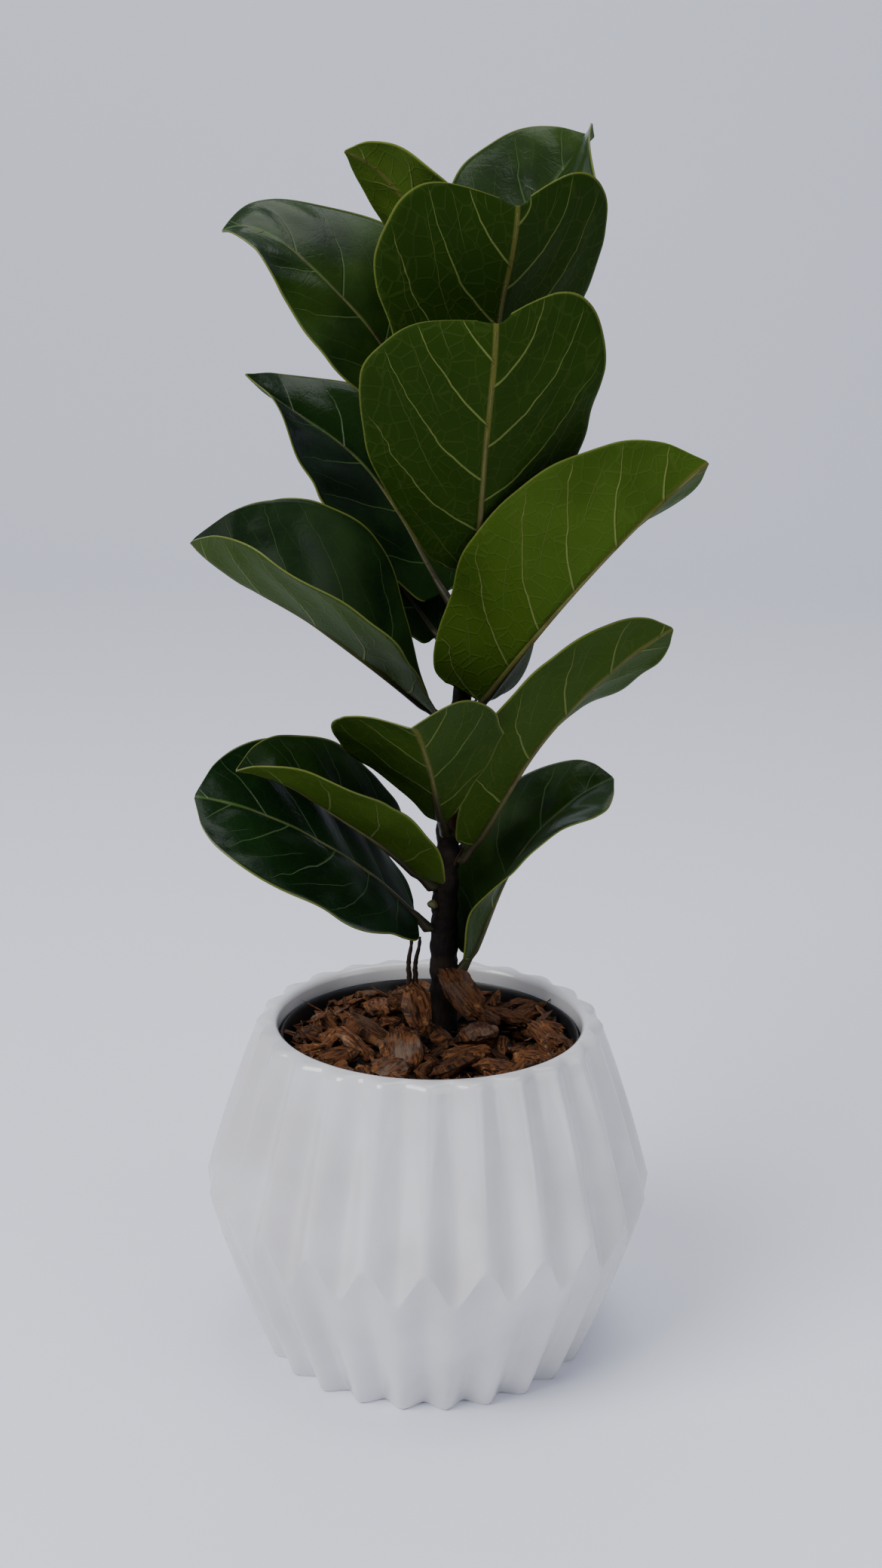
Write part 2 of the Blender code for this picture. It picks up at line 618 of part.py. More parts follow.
def build_bark(stem):
    """Slabs lean on the stem. Then chips drop in turn at seeded random places, if they fit there."""
    rng = random.Random(BARK_SEED)
    trees = [BVHTree.FromPolygons([tuple(v.co) for v in stem.data.vertices],
                                  [tuple(p.vertices) for p in stem.data.polygons])]
    for name, (size, offset, turn) in BARK_SLABS.items():
        place = Vector((STEM_FOOT.x, STEM_FOOT.y, soil_top())) + Vector(offset)
        points, faces = loft(placed(chip_rings(size, rng), place, turn))
        trees.append(tree_of(points, faces))
        add_object(name, points, faces, "bark", 0.9)
    made = 0
    for _ in range(BARK_TRIES):
        if made == BARK_CHIPS:
            break
        share = made / BARK_CHIPS
        length = mix(CHIP_LONGEST, CHIP_SHORTEST, share) * rng.uniform(0.85, 1.1)
        size = (length, length * rng.uniform(0.45, 0.7), rng.uniform(0.0035, 0.0055))
        away = grow_pot_radius(soil_top()) * math.sqrt(rng.random())
        around = rng.uniform(0, 2 * math.pi)
        x, y = away * math.cos(around), away * math.sin(around)
        height = bark_height(x, y) - rng.uniform(0.0, 0.5) * BARK_DEPTH
        turn = (rng.uniform(0, 360), rng.uniform(-25, 25), rng.uniform(-25, 25))
        rings = placed(chip_rings(size, rng), Vector((x, y, height)), turn)
        if not chip_fits(rings, trees):
            continue
        made += 1
        points, faces = loft(rings)
        trees.append(tree_of(points, faces))
        add_object(f"bark_chip_{made:02d}", points, faces, "bark", 0.9)


def rod(points, radii, sides=8):
    """Rings round a bent rod through points."""
    rings = []
    for k, point in enumerate(points):
        along = (points[min(k + 1, len(points) - 1)] - points[max(k - 1, 0)]).normalized()
        side = along.orthogonal().normalized()
        if k and side.dot(last) < 0.0:
            side = -side
        last = side
        up = along.cross(side)
        rings.append([point + (side * math.cos(2 * math.pi * i / sides)
                               + up * math.sin(2 * math.pi * i / sides)) * radii[k] for i in range(sides)])
    return rings


def build_twigs():
    foot = TWIG_FOOT + Vector((0.0, 0.0, lift()))
    for name, offsets in TWIGS.items():
        points = [foot + Vector(offset) for offset in offsets]
        radii = [TWIG_RADIUS * share for share in (1.0, 0.9, 0.8, 0.45)]
        add_object(name, *loft(rod(points, radii)), "twig", 0.9)


def build_buds():
    tip = stem_axis(stem_tip())
    start = stem_tip() + STEM_TOP_ROUND + GAP
    rings = [circle(radius, start + rise, 10, (tip.x, tip.y)) for radius, rise in TIP_BUD]
    add_object("tip_bud", *loft(rings), "bud", 0.6)
    height = SIDE_BUD_HEIGHT + lift()
    out = direction(SIDE_BUD_AZIMUTH, SIDE_BUD_ELEVATION)
    away = stem_radius(height) + SIDE_BUD[0][0]
    root = stem_axis(height) + direction(SIDE_BUD_AZIMUTH, 0) * away
    points = [root + out * along for _, along in SIDE_BUD]
    add_object("side_bud", *loft(rod(points, [radius for radius, _ in SIDE_BUD])), "bud", 0.6)


def main():
    clear_scene()
    build_pot()
    build_grow_pot()
    build_soil()
    stem = build_stem()
    for name, leaf in LEAVES.items():
        build_leaf(name, leaf)
    build_bark(stem)
    build_twigs()
    build_buds()


if __name__ == "__main__":
    main()
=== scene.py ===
"""Fine surfaces, materials and a studio for a potted fiddle leaf fig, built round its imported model.

Metres, +Z up. The origin is the centre of the cover pot's foot, and the front is towards -Y.
"""

import math
import random

import bpy
import numpy as np
from bpy.props import FloatProperty, FloatVectorProperty, IntProperty, PointerProperty
from mathutils import Euler, Matrix, Vector, noise


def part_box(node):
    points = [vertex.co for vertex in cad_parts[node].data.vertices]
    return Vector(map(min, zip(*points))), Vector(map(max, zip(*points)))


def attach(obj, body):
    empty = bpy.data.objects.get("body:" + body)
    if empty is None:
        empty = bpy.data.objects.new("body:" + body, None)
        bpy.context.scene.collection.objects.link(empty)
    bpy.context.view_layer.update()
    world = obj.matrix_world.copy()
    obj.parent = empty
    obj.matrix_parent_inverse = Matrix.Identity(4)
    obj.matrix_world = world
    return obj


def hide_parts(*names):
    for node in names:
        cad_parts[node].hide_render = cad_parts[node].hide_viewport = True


bl_info = {
    "name": "Potted fiddle leaf fig",
    "version": (1, 0, 0),
    "blender": (4, 5, 0),
    "location": "View3D > Sidebar > Fig",
    "description": "Builds the pleated pot, bark, stem and leaves of a potted fiddle leaf fig",
    "category": "Object",
}

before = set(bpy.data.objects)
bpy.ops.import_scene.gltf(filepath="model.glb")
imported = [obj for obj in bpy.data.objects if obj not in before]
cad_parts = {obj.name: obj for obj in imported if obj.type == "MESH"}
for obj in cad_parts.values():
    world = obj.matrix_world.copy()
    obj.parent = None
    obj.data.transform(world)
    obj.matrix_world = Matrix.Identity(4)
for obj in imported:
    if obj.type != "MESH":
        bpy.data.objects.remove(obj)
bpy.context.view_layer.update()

# Sizes that the pieces share

POT_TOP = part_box("pot")[1].z
GROW_POT_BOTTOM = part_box("grow_pot")[0].z
GROW_POT_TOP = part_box("grow_pot")[1].z
GROW_POT_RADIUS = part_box("grow_pot")[1].x
SOIL_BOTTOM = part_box("soil")[0].z
SOIL_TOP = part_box("soil")[1].z
STEM_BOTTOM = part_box("stem")[0].z
STEM_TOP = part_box("stem")[1].z

STEM_FOOT = Vector((0.007, 0.018, 0.0))  # where the stem stands, measured at soil height
STEM_LEAN = Vector((0.008, -0.012, 0.0))  # how far the tip stands from the foot
STEM_SWAY = 0.003
STEM_TIP_HEIGHT = STEM_TOP - 0.003
STEM_BASE_RADIUS = 0.0062
STEM_TIP_RADIUS = 0.0028
PETIOLE_RADIUS = 0.0021
GAP = 0.0003
PATH_STEPS = 40
FRAME_REACH = 4

# Each leaf:
#   foot            height on the stem
#   via, tip        places that the midrib passes through and ends at
#   start, end      its directions there: azimuth and elevation in degrees
#   petiole         length of the stalk before the blade
#   half            greatest width of the right and the left half, at peak, a share of the length
#   base            how much of its outline's width the blade has at its base
#   roll            turn about the midrib in degrees, at the base, the middle and the tip
#   fold, curl      how far the right and the left half are folded up from the midrib, and how much
#                   further they curl up to the margin, in degrees
#   open            the share of the fold that is left at the tip
#   blunt           under 1 where the blade stays wide up to a blunt tip
#   tuck            how much further the right and the left half fold up close to the tip, in degrees
#   sweep           how far the right and the left margin are drawn forward beside the tip
#   wave            height, count and phase of the waves along the margin
#   age             0 for a fresh yellow-green upper side, 1 for an old dark one
#   underside_tone_and_light  0 for a dark underside, 1 and over for the palest; the leaf's own tone,
#   with painted shade at the dark end and painted light shining through at the pale end
LEAVES = {
    "leaf_01": dict(foot=0.170, via=(0.040, 0.018, 0.225), tip=(0.080, 0.028, 0.256),
                    start=(-10, 60), end=(5, 20), petiole=0.006, half=(0.030, 0.030), peak=0.60,
                    base=1.0, blunt=1.0, open=0.2, roll=(-10, -20, -25), fold=(60, 35), curl=(0, 0),
                    tuck=(0, 0), sweep=(0, 0), wave=(0.001, 2, 0.0), age=0.8, underside_tone_and_light=0.3),
    "leaf_02": dict(foot=0.190, via=(-0.048, -0.034, 0.245), tip=(-0.098, -0.045, 0.266),
                    start=(200, 50), end=(180, 5), petiole=0.008, half=(0.046, 0.038), peak=0.58,
                    base=1.0, blunt=1.0, open=1.0, roll=(25, 30, 35), fold=(8, -5), curl=(5, -5),
                    tuck=(0, 0), sweep=(0, 0), wave=(0.001, 2, 0.5), age=1, underside_tone_and_light=0.3),
    "leaf_03": dict(foot=0.210, via=(-0.035, -0.024, 0.249), tip=(-0.081, -0.045, 0.277),
                    start=(215, 45), end=(180, 0), petiole=0.008, half=(0.031, 0.031), peak=0.50,
                    base=1.0, blunt=1.0, open=1.0, roll=(10, 15, 15), fold=(45, 38), curl=(0, 0),
                    tuck=(0, 0), sweep=(0, 0), wave=(0.001, 2, 0.0), age=0.9, underside_tone_and_light=1.6),
    "leaf_04": dict(foot=0.222, via=(0.050, -0.012, 0.288), tip=(0.099, -0.015, 0.333),
                    start=(-25, 55), end=(0, 30), petiole=0.010, half=(0.031, 0.031), peak=0.55,
                    base=0.8, blunt=1.0, open=0.3, roll=(15, 20, 40), fold=(35, 30), curl=(0, 0),
                    tuck=(0, 0), sweep=(0, 0), wave=(0.001, 2, 0.0), age=0.8, underside_tone_and_light=0.5),
    "leaf_05": dict(foot=0.236, via=(-0.002, -0.044, 0.281), tip=(-0.009, -0.072, 0.303),
                    start=(258, 38), end=(255, 10), petiole=0.014, half=(0.043, 0.034), peak=0.60,
                    base=0.35, blunt=1.0, open=1.0, roll=(0, -6, -8), fold=(22, 30), curl=(0, 0),
                    tuck=(0, 0), sweep=(0, 0), wave=(0.001, 2, 0.0), age=0.85, underside_tone_and_light=0.4),
    "leaf_06": dict(foot=0.285, via=(-0.048, -0.020, 0.332), tip=(-0.100, -0.026, 0.368),
                    start=(215, 40), end=(180, 50), petiole=0.010, half=(0.047, 0.046), peak=0.62,
                    base=0.4, blunt=0.8, open=1.0, roll=(20, 30, 25), fold=(48, 48), curl=(0, 0),
                    tuck=(0, 0), sweep=(0, 0), wave=(0.001, 2, 0.0), age=0.9, underside_tone_and_light=0.6),
    "leaf_07": dict(foot=0.288, via=(0.060, -0.040, 0.357), tip=(0.107, -0.045, 0.406),
                    start=(-45, 50), end=(5, 40), petiole=0.010, half=(0.046, 0.036), peak=0.48,
                    base=1.0, blunt=1.0, open=1.0, roll=(45, 46, 46), fold=(34, 70), curl=(0, 0),
                    tuck=(0, -30), sweep=(0, 0), wave=(0.001, 2, 0.0), age=0.8, underside_tone_and_light=0.72),
    "leaf_08": dict(foot=0.314, via=(-0.018, 0.020, 0.346), tip=(-0.046, 0.030, 0.380),
                    start=(155, 45), end=(180, 50), petiole=0.010, half=(0.030, 0.030), peak=0.50,
                    base=0.6, blunt=1.0, open=1.0, roll=(35, 40, 40), fold=(5, 15), curl=(0, 0),
                    tuck=(0, 0), sweep=(0, 0), wave=(0.001, 2, 0.0), age=0.95, underside_tone_and_light=0.3),
    "leaf_09": dict(foot=0.332, via=(-0.032, 0.038, 0.391), tip=(-0.083, 0.040, 0.429),
                    start=(150, 50), end=(180, 45), petiole=0.010, half=(0.034, 0.034), peak=0.36,
                    base=0.6, blunt=1.0, open=1.0, roll=(50, 45, 20), fold=(5, 20), curl=(0, 0),
                    tuck=(0, 20), sweep=(0, 0), wave=(0.001, 2, 0.0), age=0.95, underside_tone_and_light=0.3),
    "leaf_10": dict(foot=0.345, via=(0.019, -0.038, 0.408), tip=(0.022, -0.050, 0.459),
                    start=(-85, 45), end=(-90, 95), petiole=0.010, half=(0.052, 0.046), peak=0.66,
                    base=0.8, blunt=0.6, open=1.0, roll=(0, 0, 0), fold=(10, 10), curl=(10, 10),
                    tuck=(0, 0), sweep=(0.004, 0.030), wave=(0.001, 2, 0.0), age=0.8, underside_tone_and_light=0.16),
    "leaf_11": dict(foot=0.394, via=(-0.040, 0.014, 0.463), tip=(-0.090, 0.018, 0.488),
                    start=(180, 50), end=(185, -35), petiole=0.008, half=(0.046, 0.028), peak=0.36,
                    base=0.25, blunt=1.0, open=1.0, roll=(50, 50, 30), fold=(0, 5), curl=(0, 5),
                    tuck=(0, 0), sweep=(0, 0), wave=(0.001, 2, 0.0), age=0.75, underside_tone_and_light=0.3),
    "leaf_12": dict(foot=0.395, via=(0.024, -0.014, 0.458), tip=(0.030, -0.024, 0.502),
                    start=(-80, 60), end=(-90, 95), petiole=0.010, half=(0.052, 0.047), peak=0.68,
                    base=0.7, blunt=0.6, open=1.0, roll=(0, 0, 0), fold=(10, 10), curl=(10, 10),
                    tuck=(0, 0), sweep=(0.018, 0.030), wave=(0.001, 2, 0.0), age=0.7, underside_tone_and_light=0.12),
    "leaf_13": dict(foot=0.432, via=(0.036, 0.052, 0.490), tip=(0.065, 0.074, 0.528),
                    start=(30, 60), end=(30, 40), petiole=0.014, half=(0.050, 0.040), peak=0.55,
                    base=0.2, blunt=1.0, open=1.0, roll=(-15, -20, -20), fold=(45, 5), curl=(10, 0),
                    tuck=(25, 0), sweep=(0, 0), wave=(0.001, 2, 0.0), age=0.7, underside_tone_and_light=0.5),
    "leaf_14": dict(foot=0.428, via=(-0.002, 0.002, 0.482), tip=(-0.039, -0.004, 0.521),
                    start=(190, 70), end=(180, 15), petiole=0.008, half=(0.029, 0.029), peak=0.42,
                    base=0.8, blunt=1.0, open=1.0, roll=(-30, -30, -30), fold=(10, 10), curl=(0, 0),
                    tuck=(0, 0), sweep=(0, 0), wave=(0.001, 2, 0.0), age=0, underside_tone_and_light=1),
}

# Half width of a blade along its length, as shares of the length and of the greatest half width. The
# greatest width is at BLADE_PEAK here, and each leaf's own peak moves it.
BLADE_PEAK = 0.66
BLADE_OUTLINE = ((0.0, 0.0), (0.015, 0.26), (0.06, 0.46), (0.18, 0.62), (0.36, 0.78), (0.52, 0.94),
                 (0.66, 1.0), (0.80, 0.93), (0.91, 0.68), (0.97, 0.38), (1.0, 0.0))

# Main side veins of a blade
VEIN_SPACING = 0.026
VEIN_SLOPE_FOOT = 0.35  # how far forward a vein runs for each metre outward, at the foot of the blade
VEIN_SLOPE_TIP = 1.05  # and near its tip
VEIN_BEND = 5.0  # and how much further for each square metre outward
VEIN_STAGGER = 0.4  # between the two halves, in spacings
BRANCH_SPREAD = 0.045  # how far out a branch vein has crossed one spacing
VEIN_WANDER = 0.016  # how far a vein strays from its curve at the margin
RIPPLE = 0.0024  # height of the small waves along the margin
WOBBLE = 0.045  # how far the margin strays in or out, a share of the half width
TIP_SHARE = 0.996  # how much of the midrib's curve the fine blade reaches
TUCK_START = 0.6  # share of the blade's length where its tip starts to fold up


# Sizes and colours that a user would change


def colour(name, default, description):
    return FloatVectorProperty(name=name, description=description, subtype="COLOR", size=3, min=0.0,
                               max=1.0, default=default)


def length(name, default, description):
    return FloatProperty(name=name, description=description, unit="LENGTH", precision=5, min=0.0,
                         default=default)


class FigPot(bpy.types.PropertyGroup):
    pleats: IntProperty(name="Pleats", description="Folds round the cover pot", default=24, min=3)
    peak_radius: length("Peak radius", 0.099, "Radius where an upper ridge ends at the belly")
    peak_height: length("Peak height", 0.079, "Height where an upper ridge ends at the belly")
    low_radius: length("Low radius", 0.095, "Radius where an upper valley ends at the belly")
    low_height: length("Low height", 0.061, "Height where an upper valley ends at the belly")
    flare_radius: length("Flare radius", 0.084, "Radius of the lower pleats halfway up")
    rim_ridge: length("Rim ridge", 0.077, "Radius of the ridges under the rim")
    rim_valley: length("Rim valley", 0.0735, "Radius of the valleys under the rim")
    mouth: length("Mouth", 0.067, "Radius of the round mouth")
    foot_ridge: length("Foot ridge", 0.0727, "Radius of the ridges at the foot")
    foot_valley: length("Foot valley", 0.066, "Radius of the valleys at the foot")
    wall: length("Wall", 0.006, "Thickness of the ceramic")
    glaze: colour("Glaze", (0.66, 0.655, 0.66), "White glaze")
    glaze_worn: colour("Thin glaze", (0.56, 0.55, 0.55), "Glaze where it pooled or ran thin")
    plastic: colour("Nursery pot", (0.012, 0.012, 0.013), "Black plastic of the inner pot")


class FigBed(bpy.types.PropertyGroup):
    bits: IntProperty(name="Bark bits", description="Small pieces between the chips", default=760,
                      min=0)
    bit_size: length("Bit size", 0.0052, "Half length of a usual bit of bark")
    bark_dark: colour("Dark bark", (0.015, 0.007, 0.004), "Wet and shaded bark")
    bark_red: colour("Red bark", (0.135, 0.050, 0.017), "Inner bark")
    bark_fresh: colour("Fresh bark", (0.27, 0.135, 0.055), "Pale fibres where a piece tore")
    bark_grey: colour("Grey bark", (0.14, 0.10, 0.075), "Weathered outer bark")
    soil: colour("Soil", (0.012, 0.008, 0.006), "Potting mix")


class FigStem(bpy.types.PropertyGroup):
    bark: colour("Stem bark", (0.006, 0.004, 0.003), "Young bark")
    bark_light: colour("Light stem bark", (0.020, 0.014, 0.010), "Corky patches of the bark")
    scar: colour("Scars", (0.006, 0.004, 0.003), "Scars and dry sheaths")
    fresh: colour("Fresh stem", (0.035, 0.045, 0.010), "Green growth at the top")
    sheath: length("Sheath", 0.012, "Length of a dry sheath at the foot of a leaf")


class FigLeaf(bpy.types.PropertyGroup):
    thickness: length("Blade thickness", 0.0006, "Thickness of the leaf blade")
    pucker: length("Pucker", 0.0011, "How high the blade swells between its veins")
    upper: colour("Upper side", (0.005, 0.018, 0.004), "Grown leaf from above")
    upper_dark: colour("Dark upper side", (0.002, 0.008, 0.002), "Old leaf from above")
    upper_fresh: colour("Fresh upper side", (0.050, 0.095, 0.003), "Young leaf from above")
    # Each leaf's underside is mixed between these two: its own tone, with painted light shining
    # through the blade at the pale end and painted shade at the dark end
    under: colour("Pale underside", (0.040, 0.074, 0.008), "Leaf from below where it is palest")
    under_dark_and_shaded: colour("Dark underside", (0.006, 0.019, 0.001), "Leaf from below where it is darkest")
    vein: colour("Veins above", (0.045, 0.085, 0.022), "Veins on the upper side")
    vein_under: colour("Veins below", (0.095, 0.125, 0.028), "Side veins on the underside")
    rib: colour("Midrib", (0.075, 0.075, 0.016), "Midrib on the underside")
    stalk: colour("Stalk", (0.055, 0.045, 0.012), "Leaf stalk where it is darkest")
    petiole: colour("Petiole", (0.020, 0.017, 0.005), "Petiole and midrib close to the stem")
    # Margin: a thin bright line round each leaf, the edge's own paler tone with a painted highlight
    # where the edge catches the light
    margin: colour("Margin", (0.13, 0.15, 0.03), "Thin line round the leaf")


class FigStage(bpy.types.PropertyGroup):
    floor: colour("Floor", (0.86, 0.865, 0.95), "Pale floor and backdrop")
    camera_place: FloatVectorProperty(name="Camera place", description="Where the camera stands",
                                      unit="LENGTH", size=3, default=(0.0034, -0.934, 0.5273))
    camera_pitch: FloatProperty(name="Camera pitch", description="How far the camera looks down",
                                unit="ROTATION", default=math.radians(15.97))
    camera_roll: FloatProperty(name="Camera roll", description="Turn about the line of sight",
                               unit="ROTATION", default=math.radians(0.84))
    lens: FloatProperty(name="Lens", description="Focal length in millimetres", default=52.0, min=1.0)


# Small tools


def begin():
    """Object mode with nothing selected."""
    if bpy.context.object and bpy.context.object.mode != "OBJECT":
        bpy.ops.object.mode_set(mode="OBJECT")
    bpy.ops.object.select_all(action="DESELECT")


def mix(a, b, share):
    return a + (b - a) * share


def smooth_step(t):
    t = min(max(t, 0.0), 1.0)
    return t * t * (3.0 - 2.0 * t)


def polar(radius, angle, height):
    """The point at a radius, an angle and a height round the pot's axis."""
    return Vector((radius * math.cos(angle), radius * math.sin(angle), height))


def move_points(obj, place):
    """Puts every point of a mesh where place(its coordinates) says."""
    for vertex in obj.data.vertices:
        vertex.co = place(vertex.co.copy())
    obj.data.update()


def grid(name, columns, rows):
    """A flat grid one unit wide and long, with a UV map, to be bent into shape."""
    begin()
    bpy.ops.mesh.primitive_grid_add(x_subdivisions=columns, y_subdivisions=rows, size=1.0)
    obj = bpy.context.object
    obj.name = name
    return obj


def tube(name, sides, rows, place):
    """A closed tube: a disc extruded row by row, then each point put at place(angle, row)."""
    begin()
    bpy.ops.mesh.primitive_circle_add(vertices=sides, radius=1.0, fill_type="NGON")
    obj = bpy.context.object
    obj.name = name
    bpy.ops.object.mode_set(mode="EDIT")
    bpy.ops.mesh.select_mode(type="FACE")
    bpy.ops.mesh.select_all(action="SELECT")
    for _ in range(rows - 1):
        bpy.ops.mesh.extrude_region_move(TRANSFORM_OT_translate={"value": (0.0, 0.0, 1.0)})
    bpy.ops.object.mode_set(mode="OBJECT")
    move_points(obj, lambda p: place(math.atan2(p.y, p.x), round(p.z)))
    outward(obj)
    return obj


def outward(obj):
    begin()
    bpy.context.view_layer.objects.active = obj
    obj.select_set(True)
    bpy.ops.object.mode_set(mode="EDIT")
    bpy.ops.mesh.select_all(action="SELECT")
    bpy.ops.mesh.normals_make_consistent(inside=False)
    bpy.ops.object.mode_set(mode="OBJECT")


def modify(obj, kind, **settings):
    """Adds a modifier and applies it."""
    begin()
    bpy.context.view_layer.objects.active = obj
    obj.select_set(True)
    modifier = obj.modifiers.new(kind.title(), kind)
    for key, value in settings.items():
        setattr(modifier, key, value)
    bpy.ops.object.modifier_apply(modifier=modifier.name)


def join(objects, name):
    begin()
    for obj in objects:
        obj.select_set(True)
    bpy.context.view_layer.objects.active = objects[0]
    bpy.ops.object.join()
    obj = bpy.context.object
    obj.name = name
    return obj


def smooth(obj, angle=None):
    begin()
    bpy.context.view_layer.objects.active = obj
    obj.select_set(True)
    if angle is None:
        bpy.ops.object.shade_smooth()
    else:
        bpy.ops.object.shade_smooth_by_angle(angle=math.radians(angle))


def dress(obj, *materials):
    for material in materials:
        obj.data.materials.append(material)


def hand_over(obj, slot, *nodes):
    """The piece moves with the plant and stands for its solids; the slot is not used."""
    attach(obj, "root")
    if nodes:
        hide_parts(*nodes)


def tint(obj, red, green=0.0):
    """Stores two numbers on every point, for the materials to read."""
    layer = obj.data.color_attributes.new("tone", "FLOAT_COLOR", "POINT")
    values = np.tile((red, green, 0.0, 1.0), len(obj.data.vertices))
    layer.data.foreach_set("color", values)


class Paint:
    """One material, built from nodes on object coordinates, UV maps and attributes."""

    def __init__(self, name):
        self.material = bpy.data.materials.new(name)
        self.material.use_nodes = True
        self.tree = self.material.node_tree
        self.shader = self.tree.nodes["Principled BSDF"]

    def feed(self, socket, value):
        if isinstance(value, bpy.types.NodeSocket):
            self.tree.links.new(value, socket)
        elif socket.type == "RGBA" and len(value) == 3:
            socket.default_value = (*value, 1.0)
        else:
            socket.default_value = value

    def node(self, kind, inputs=None, **settings):
        made = self.tree.nodes.new(kind)
        for key, value in settings.items():
            setattr(made, key, value)
        for key, value in (inputs or {}).items():
            self.feed(made.inputs[key], value)
        return made

    def set(self, **inputs):
        for key, value in inputs.items():
            self.feed(self.shader.inputs[key.replace("_", " ")], value)
        return self.material

    def math(self, operation, a, b=0.0):
        return self.node("ShaderNodeMath", {0: a, 1: b}, operation=operation).outputs[0]

    def times(self, a, b):
        return self.math("MULTIPLY", a, b)

    def plus(self, a, b):
        return self.math("ADD", a, b)

    def minus(self, a, b):
        return self.math("SUBTRACT", a, b)

    def between(self, value, low, high):
        """0 below low, 1 above high, smooth between."""
        return self.node("ShaderNodeMapRange", {"Value": value, "From Min": low, "From Max": high},
                         interpolation_type="SMOOTHSTEP").outputs["Result"]

    def blend(self, share, a, b):
        made = self.node("ShaderNodeMix", data_type="RGBA")
        self.feed(made.inputs[0], share)
        self.feed(made.inputs[6], a)
        self.feed(made.inputs[7], b)
        return made.outputs[2]

    def coat(self, tone, mask, strength, colour):
        """Lays a colour over tone where mask is 1, as strongly as strength says."""
        return self.blend(self.times(mask, strength), tone, colour)

    def place(self, scale=(1.0, 1.0, 1.0), source=None):
        if source is None:
            source = self.node("ShaderNodeTexCoord").outputs["Object"]
        return self.node("ShaderNodeMapping", {"Vector": source, "Scale": scale}).outputs[0]

    def noise(self, scale, detail=4.0, place=None, roughness=0.5):
        place = place or self.place()
        return self.node("ShaderNodeTexNoise", {"Vector": place, "Scale": scale, "Detail": detail,
                                                "Roughness": roughness}).outputs["Fac"]

    def cells(self, scale, place=None):
        """Distance to the edges of irregular cells."""
        place = place or self.place()
        return self.node("ShaderNodeTexVoronoi", {"Vector": place, "Scale": scale},
                         feature="DISTANCE_TO_EDGE").outputs["Distance"]

    def bump(self, height, distance, strength=1.0, under=None):
        made = self.node("ShaderNodeBump",
                         {"Height": height, "Distance": distance, "Strength": strength})
        if under is not None:
            self.feed(made.inputs["Normal"], under)
        return made.outputs[0]

    def tone(self):
        stored = self.node("ShaderNodeAttribute", attribute_name="tone").outputs["Color"]
        parts = self.node("ShaderNodeSeparateColor", {0: stored})
        return parts.outputs[0], parts.outputs[1]

    def uv(self, name):
        stored = self.node("ShaderNodeUVMap", uv_map=name).outputs[0]
        parts = self.node("ShaderNodeSeparateXYZ", {0: stored})
        return parts.outputs[0], parts.outputs[1]


# Cover pot


def wave_of(angle, pleats):
    """0 on an upper ridge and 1 in an upper valley, with rounded ridges and tighter valleys."""
    turn = pleats * angle / (2 * math.pi)
    near = abs(turn - round(turn)) * 2
    return mix(near, (1 - math.cos(math.pi * near)) / 2, 0.75)


FOOT_RECESS = 0.0022  # how far the middle of the foot stands off the ground
FOOT_RECESS_RADIUS = 0.030
FOOT_RING = 0.0045  # width of the ring that the pot stands on
FOOT_RING_SLOPE = 0.0060  # how far in the recess begins
FOOT_ROUND = 0.0012
FLARE_SWELL = 0.0006  # how much further than their own radius the lower pleats bow out
BELLY_BULGE = 0.05  # how far the upper pleats bow out, as a share of the step to the rim
RIM_ROUND = 0.0045
MOUTH_ROUND = 0.0030
SHOULDER_DROP = 0.027  # how far under the rim the inside has widened into the belly
SHOULDER_STEP = 0.007
LOWER_ROWS = 9
UPPER_ROWS = 14


def pot_profile(sizes):
    """Rules that give (height, radius) for a share from a ridge, 0, to a valley, 1.

    They run from the middle of the foot up the outside, over the rim and down the inside.
    """
    top = POT_TOP - RIM_ROUND
    belly_radius = sizes.low_radius - 1.4 * sizes.wall

    def foot(v):
        return mix(sizes.foot_valley, sizes.foot_ridge, v)

    def lower(share):
        def rule(v):
            height = mix(sizes.peak_height, sizes.low_height, v)
            radius = mix(sizes.peak_radius, sizes.low_radius, v)
            bow = 4 * share * (1 - share) * (sizes.flare_radius - (foot(v) + radius) / 2 + FLARE_SWELL)
            return mix(FOOT_ROUND, height, share), mix(foot(v), radius, share) + bow
        return rule

    def upper(share):
        def rule(v):
            height = mix(sizes.peak_height, sizes.low_height, v)
            ridge = mix(sizes.peak_radius, sizes.rim_ridge, share)
            valley = mix(sizes.low_radius, sizes.rim_valley, share)
            bow = BELLY_BULGE * 4 * share * (1 - share) * (sizes.peak_radius - sizes.rim_ridge)
            return mix(height, top, share), mix(ridge, valley, v) + bow
        return rule

    rows = [lambda v: (FOOT_RECESS, FOOT_RECESS_RADIUS),
            lambda v: (FOOT_RECESS, foot(v) - FOOT_RING_SLOPE),
            lambda v: (0.0, foot(v) - FOOT_RING), lambda v: (0.0, foot(v) - FOOT_ROUND),
            lambda v: (FOOT_ROUND, foot(v))]
    rows += [lower(i / LOWER_ROWS) for i in range(1, LOWER_ROWS)]
    rows += [lower(0.975), upper(0.0), upper(0.02)]
    rows += [upper(i / UPPER_ROWS) for i in range(1, UPPER_ROWS + 1)]
    for angle in (25, 50, 75):
        a = math.radians(angle)
        rows.append(lambda v, a=a: (
            top + RIM_ROUND * math.sin(a),
            mix(sizes.rim_ridge, sizes.rim_valley, v) - RIM_ROUND * (1 - math.cos(a))))
    for angle in (90, 65, 35, 0):
        a = math.radians(angle)
        rows.append(lambda v, a=a: (POT_TOP - MOUTH_ROUND * (1 - math.sin(a)),
                                    sizes.mouth + MOUTH_ROUND * (1 - math.cos(a))))
    inside = ((POT_TOP - 0.012, sizes.mouth + 0.0003),
              (POT_TOP - SHOULDER_DROP, sizes.mouth + SHOULDER_STEP),
              (sizes.peak_height, belly_radius), (sizes.low_height, belly_radius),
              (sizes.wall + 0.006, sizes.foot_valley - 0.004),
              (sizes.wall, sizes.foot_valley - sizes.wall - 0.004), (sizes.wall, 0.02))
    rows += [lambda v, h=h, r=r: (h, r) for h, r in inside]
    return rows


